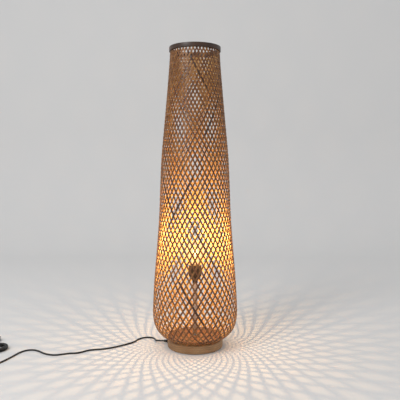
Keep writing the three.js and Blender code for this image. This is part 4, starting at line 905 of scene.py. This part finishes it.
# %% Bamboo
def bamboo(name, dark, middle, light):
    """Split cane: fibre streaks along the map's first direction in three tones, satin sheen."""
    return finish(
        name, {"fibres": (0.9, {"Detail": 4.0, "Roughness": 0.55}, (1 / 60, 1, 1)),
               "blotch": (35, {})},
        [("fibres", [(0.3, dark), (0.55, middle), (0.72, light)]),
         ("blotch", [(0.35, "#B9A999"), (0.65, "#FFFFFF")])],
        relief=("fibres", 0.4, 0.2), rough=("fibres", 0.5, 0.36),
        surface={"Coat Weight": 0.15, "Coat Roughness": 0.25}, mapped=True)


dark_bamboo = bamboo("stained_split_bamboo", "#28170B", "#452914", "#5E3B20")
pale_rattan = bamboo("split_rattan_core", "#8A6238", "#A97F4E", "#C09763")

# %% [markdown]
# ## Turned wood
# The base is a plain pale-brown wood, such as rubberwood, turned, sanded and matt varnished. Its
# board runs left to right, so the growth rings are long waves along X and the pores are short dark
# dashes the same way. The pattern fills the wood and isn't wrapped round it, so the rim shows
# stripes at the front and speckled end grain at the sides, as a real disc does.

# %% Wood
wood, tree, position = blank("turned_rubberwood_matt")
bent = add(tree, "TexNoise", {"Vector": position, "Scale": per_length(90)})
wavy = add(tree, "VectorMath", {0: bent.outputs["Color"], 1: (0.0, 0.016, 0.016), 2: position},
           operation="MULTIPLY_ADD")
board = add(tree, "Mapping", {"Vector": wavy, "Scale": (0.05, 0.35, 1.0), "Rotation": (0.25, 0, 0)})
rings_of_growth = add(tree, "TexWave", {
    "Vector": board, "Scale": per_length(22), "Distortion": 1.6, "Detail Scale": 1.4},
    bands_direction="Z").outputs["Fac"]
pores = add(tree, "TexNoise", {
    "Vector": add(tree, "Mapping", {"Vector": position, "Scale": (1 / 22, 1, 1)}),
    "Scale": per_length(0.6), "Detail": 3.0, "Roughness": 0.65})
blotch = add(tree, "TexNoise", {"Vector": position, "Scale": per_length(60)})
color = add(tree, "ValToRGB", {"Fac": rings_of_growth},
            [(0.0, "#A07E58"), (0.6, "#A98660"), (1.0, "#B18F69")])
dashes = add(tree, "ValToRGB", {"Fac": pores}, [(0.32, "#9A8069"), (0.46, "#FFFFFF")])
cloud = add(tree, "ValToRGB", {"Fac": blotch}, [(0.3, "#D9CBBB"), (0.7, "#FFFFFF")])
for share, layer in ((0.8, dashes), (1.0, cloud)):
    color = add(tree, "Mix", {0: share, 6: color, 7: layer}, **MULTIPLY).outputs[2]
bump = add(tree, "Bump", {"Height": pores, "Strength": 0.25, "Distance": 0.12 * MM})
add(tree, "OutputMaterial", {"Surface": add(tree, "BsdfPrincipled", {
    "Base Color": color, "Roughness": 0.52, "Normal": bump})})
print("wood", len(tree.nodes), "nodes")

# %% [markdown]
# ## Moulded and rubber parts
# The switch, plug, tie and lampholder are moulded plastic with a fine spark-eroded texture, which
# breaks up the highlight. The cord's sheath is extruded, so it is smoother, with faint waves, and
# so is the colour on its two wires. The feet are rubber: duller, a little grey with dust. The black
# parts differ by their gloss more than by colour.

# %% Plastics
def moulded(name, deep, pale, roughness, grain, height):
    """Moulded or extruded plastic: two near tones in soft clouds, a grain that many mm apart."""
    return finish(
        name, {"cloud": (18, {"Detail": 3.0}), "grain": (grain, {"Roughness": 0.6})},
        [("cloud", [(0.3, deep), (0.7, pale)])], relief=("grain", 0.3, height),
        rough=("grain", roughness - 0.08, roughness + 0.08), surface={"IOR": 1.47})


black_plastic = moulded("moulded_black_plastic", "#161616", "#1F1F20", 0.42, 0.5, 0.06)
sheath = moulded("extruded_pvc_sheath", "#131313", "#1C1B1B", 0.34, 2.2, 0.05)
rubber = moulded("pressed_rubber", "#1C1B1A", "#2B2927", 0.8, 0.7, 0.1)
brown_wire = moulded("brown_wire_insulation", "#5B3018", "#6B3A1E", 0.38, 1.2, 0.03)
blue_wire = moulded("blue_wire_insulation", "#1C4F8C", "#2660A3", 0.38, 1.2, 0.03)

# %% [markdown]
# ## Metals
# Zinc-plated steel is a pale bluish grey with soft stains, pressed brass is yellow with darker
# finger marks, and the wires that hold the filaments are plain nickel. Fine drawing lines run over
# each. Bare metal is a metallic shader with its own colour.

# %% Metals
def metal(name, deep, pale, roughness, lines, stretch, height):
    """Bare metal: clouds of two tones, fine lines along one way, rougher where it is darker."""
    return finish(
        name, {"cloud": (7, {"Detail": 3.0}), "lines": (lines, {}, stretch)},
        [("cloud", [(0.3, deep), (0.7, pale)])], relief=("lines", 0.2, height),
        rough=("cloud", roughness + 0.1, roughness - 0.04), surface={"Metallic": 1.0})


steel = metal("zinc_plated_steel", "#9A9DA1", "#C3C6CA", 0.34, 0.6, (1, 1, 0.2), 0.02)
brass = metal("pressed_brass", "#A9843F", "#CDAA60", 0.28, 0.5, (1, 1, 3), 0.02)
nickel_wire = metal("nickel_frame_wire", "#8E8A84", "#B5B0A8", 0.3, 0.4, (1, 1, 0.2), 0.01)

# %% [markdown]
# ## Porcelain, glass and the glowing filaments
# The holder's insert is glazed porcelain, white with small grey specks and a wet gloss. The bulb is
# clear glass, so thin that light passes it almost straight, so its shader lets shadow rays through;
# else it would throw a black shadow. The filaments are coated rods that glow, hotter in the middle,
# where they look nearly white.

# %% Porcelain
porcelain = finish(
    "glazed_porcelain", {"specks": (1.1, {"Detail": 1.0}), "glaze": (12, {})},
    [("specks", [(0.72, "#FFFFFF"), (0.78, "#A9A49C")]),
     ("glaze", [(0.3, "#E7E2D8"), (0.7, "#F3F0E9")])],
    surface={"Roughness": 0.3, "Coat Weight": 0.6, "Coat Roughness": 0.05})

# %% Clear glass
clear_glass, tree, position = blank("clear_blown_glass")
ripple = add(tree, "TexNoise", {"Vector": position, "Scale": per_length(25), "Detail": 1.0})
bump = add(tree, "Bump", {"Height": ripple, "Strength": 0.15, "Distance": 0.3 * MM})
tint = add(tree, "ValToRGB", {"Fac": ripple}, [(0.3, "#F6F3EA"), (0.7, "#FFFEFA")])
blown = add(tree, "BsdfPrincipled", {
    "Base Color": tint, "Roughness": 0.02, "Normal": bump, "Transmission Weight": 1.0,
    "Emission Color": linear("#FFCF8F"), "Emission Strength": 0.09})
open_to_light = add(tree, "BsdfTransparent", {"Color": linear("#FBFAF7")})
shadow_ray = add(tree, "LightPath").outputs["Is Shadow Ray"]
add(tree, "OutputMaterial", {
    "Surface": add(tree, "MixShader", {0: shadow_ray, 1: blown, 2: open_to_light})})
print("glass", len(tree.nodes), "nodes")

# %% Glowing filaments
FILAMENT_FOOT, FILAMENT_TOP = 0.300, 0.336

glow, tree, position = blank("glowing_filament")
share = add(tree, "MapRange", {
    "Value": add(tree, "SeparateXYZ", {"Vector": position}).outputs["Z"],
    "From Min": FILAMENT_FOOT, "From Max": FILAMENT_TOP})
heat = add(tree, "ValToRGB", {"Fac": share}, [(0.0, "#D9791C"), (0.5, "#FFE2A0"), (1.0, "#D9791C")])
grains = add(tree, "TexNoise", {"Vector": position, "Scale": per_length(0.8)})
skin = add(tree, "ValToRGB", {"Fac": grains}, [(0.3, "#C98A2C"), (0.7, "#E7B458")])
add(tree, "OutputMaterial", {"Surface": add(tree, "BsdfPrincipled", {
    "Base Color": skin, "Roughness": 0.6, "Emission Color": heat, "Emission Strength": 9.0})})
print("filaments", len(tree.nodes), "nodes")

# %% [markdown]
# ## Putting the finishes on
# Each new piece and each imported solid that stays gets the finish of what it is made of. The table
# goes from a finish to its pieces, so a missing one is easy to find, and the last line names what
# is left bare.

# %% Finishes on pieces
FINISHES = [
    (rattan, "woven_strips_left woven_strips_right"),
    (pale_rattan, "foot_ring"),
    (dark_bamboo, "mouth_hoop_outside mouth_hoop_inside foot_hoop_inside"),
    (wood, "turned_base"),
    (fibreboard, "base_panel"),
    (rubber, "foot_pad_1 foot_pad_2 foot_pad_3 foot_pad_4"),
    (sheath, "mains_cord cord_lead_in"),
    (black_plastic, "cord_relief holder_bell holder_ring switch_lower_shell switch_upper_shell "
                    "switch_rocker cable_tie plug_body pin_sleeve_1 pin_sleeve_2 bulb_insulator"),
    (steel, "plain_sleeve top_washer upper_nut lower_nut lower_washer threaded_pipe rocker_pin "
            "switch_screw_1 switch_screw_2 round_pin_1 round_pin_2 plate_screw_1 plate_screw_2 "
            "plate_screw_3 bulb_tip_contact"),
    (brass, "threaded_cap screw_shell centre_contact terminal_screw_1 terminal_screw_2"),
    (nickel_wire, "filament_frame"),
    (cast_iron, "weight_plate"),
    (porcelain, "holder_insert"),
    (clear_glass, "clear_ball glass_stem"),
    (glow, "filament_1 filament_2 filament_3 filament_4"),
    (brown_wire, "wire_live"),
    (blue_wire, "wire_neutral")]

for finish, names in FINISHES:
    for name in names.split():
        slots = (bpy.data.objects.get(name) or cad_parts[name]).data.materials
        if not slots:
            slots.append(finish)
        for index in range(len(slots)):
            slots[index] = finish
dressed = {material.name for material, names in FINISHES}
bare = [thing.name for thing in scene.objects
        if thing.type in {"MESH", "CURVE"} and not thing.hide_render
        and not dressed & {slot.name for slot in thing.material_slots}]
print("pieces without a finish", bare)

# %% [markdown]
# ## Floor and light
# A plain pale floor runs back and curves up into a backdrop, so no edge draws the eye. The light is
# a studio's: an even white sky that shows colours about as they are, one large soft lamp that
# shapes the round body from the front left, and the lamp's own bulb. Its warm light comes from one
# small point in the glass, because a clear bulb's small source is what throws the crisp mesh of the
# weave on the floor. The point sits just above the filaments, so that the holder's own shadow stays
# close to the base.

# %% Floor and backdrop
def sweep(width, front, back, bend, height, steps=24):
    """A floor from front to back that turns up a quarter circle of radius bend into a wall."""
    angle = np.linspace(0, np.pi / 2, steps)
    y = np.concatenate([[front], back - bend + bend * np.sin(angle), [back]])
    z = np.concatenate([[0], bend - bend * np.cos(angle), [height]])
    x = np.array([-width / 2, width / 2])
    return np.stack(np.broadcast_arrays(x[None], y[:, None], z[:, None]), axis=-1)


sweep_points = sweep(9.0, -4.5, 2.6, 0.9, 3.2)
sweep_mesh = bpy.data.meshes.new("studio_floor")
sweep_mesh.from_pydata(sweep_points.reshape(-1, 3), [],
                       grid_faces(*sweep_points.shape[:2], False, False))
sweep_mesh.shade_smooth()
studio_floor = bpy.data.objects.new("studio_floor", sweep_mesh)
scene.collection.objects.link(studio_floor)
matt_paper = bpy.data.materials.new("matt_backdrop_paper")
matt_paper.use_nodes = True
paper = matt_paper.node_tree.nodes["Principled BSDF"].inputs
paper["Base Color"].default_value = linear("#E7E7E7")
paper["Roughness"].default_value = 0.9
sweep_mesh.materials.append(matt_paper)
print("backdrop", len(sweep_mesh.polygons), "faces")

# %% Studio light
BULB_HEIGHT = 0.345
WHITE, WARM_WHITE = (1, 1, 1), (1.0, 0.68, 0.36)

world = bpy.data.worlds.new("white_sky")
scene.world = world
world.use_nodes = True
sky = world.node_tree.nodes["Background"].inputs
sky["Color"].default_value = (*WHITE, 1)
sky["Strength"].default_value = 0.6
scene.view_settings.view_transform = "Standard"


def lamp(name, kind, location, target, watts, color, **settings):
    """A light at location that looks at target, with its power, colour and size."""
    data = bpy.data.lights.new(name, kind)
    data.energy = watts
    data.color = color
    for setting, value in settings.items():
        setattr(data, setting, value)
    light = bpy.data.objects.new(name, data)
    light.location = location
    x, y, z = np.array(target) - np.array(location)
    light.rotation_euler = (math.atan2(math.hypot(x, y), -z), 0, math.atan2(-x, y))
    scene.collection.objects.link(light)
    return light


lamp("soft_key", "AREA", (-1.7, -2.0, 2.3), (0, 0, 0.45), 38, WHITE, shape="DISK", size=1.5)
bulb_light = lamp("bulb_light", "POINT", (0, 0, BULB_HEIGHT), (0, 0, 0), 5.5, WARM_WHITE,
                  shadow_soft_size=3.5 * MM)
# The light is a small ball, which the glass would show and mirror above the filaments.
bulb_light.visible_transmission = bulb_light.visible_glossy = False
print("lamps", [light.name for light in bpy.data.lights])

# %% [markdown]
# ## The last update
# Last, the view layer is brought up to date, so every piece stands where its body puts it.

# %% The last update
bpy.context.view_layer.update()
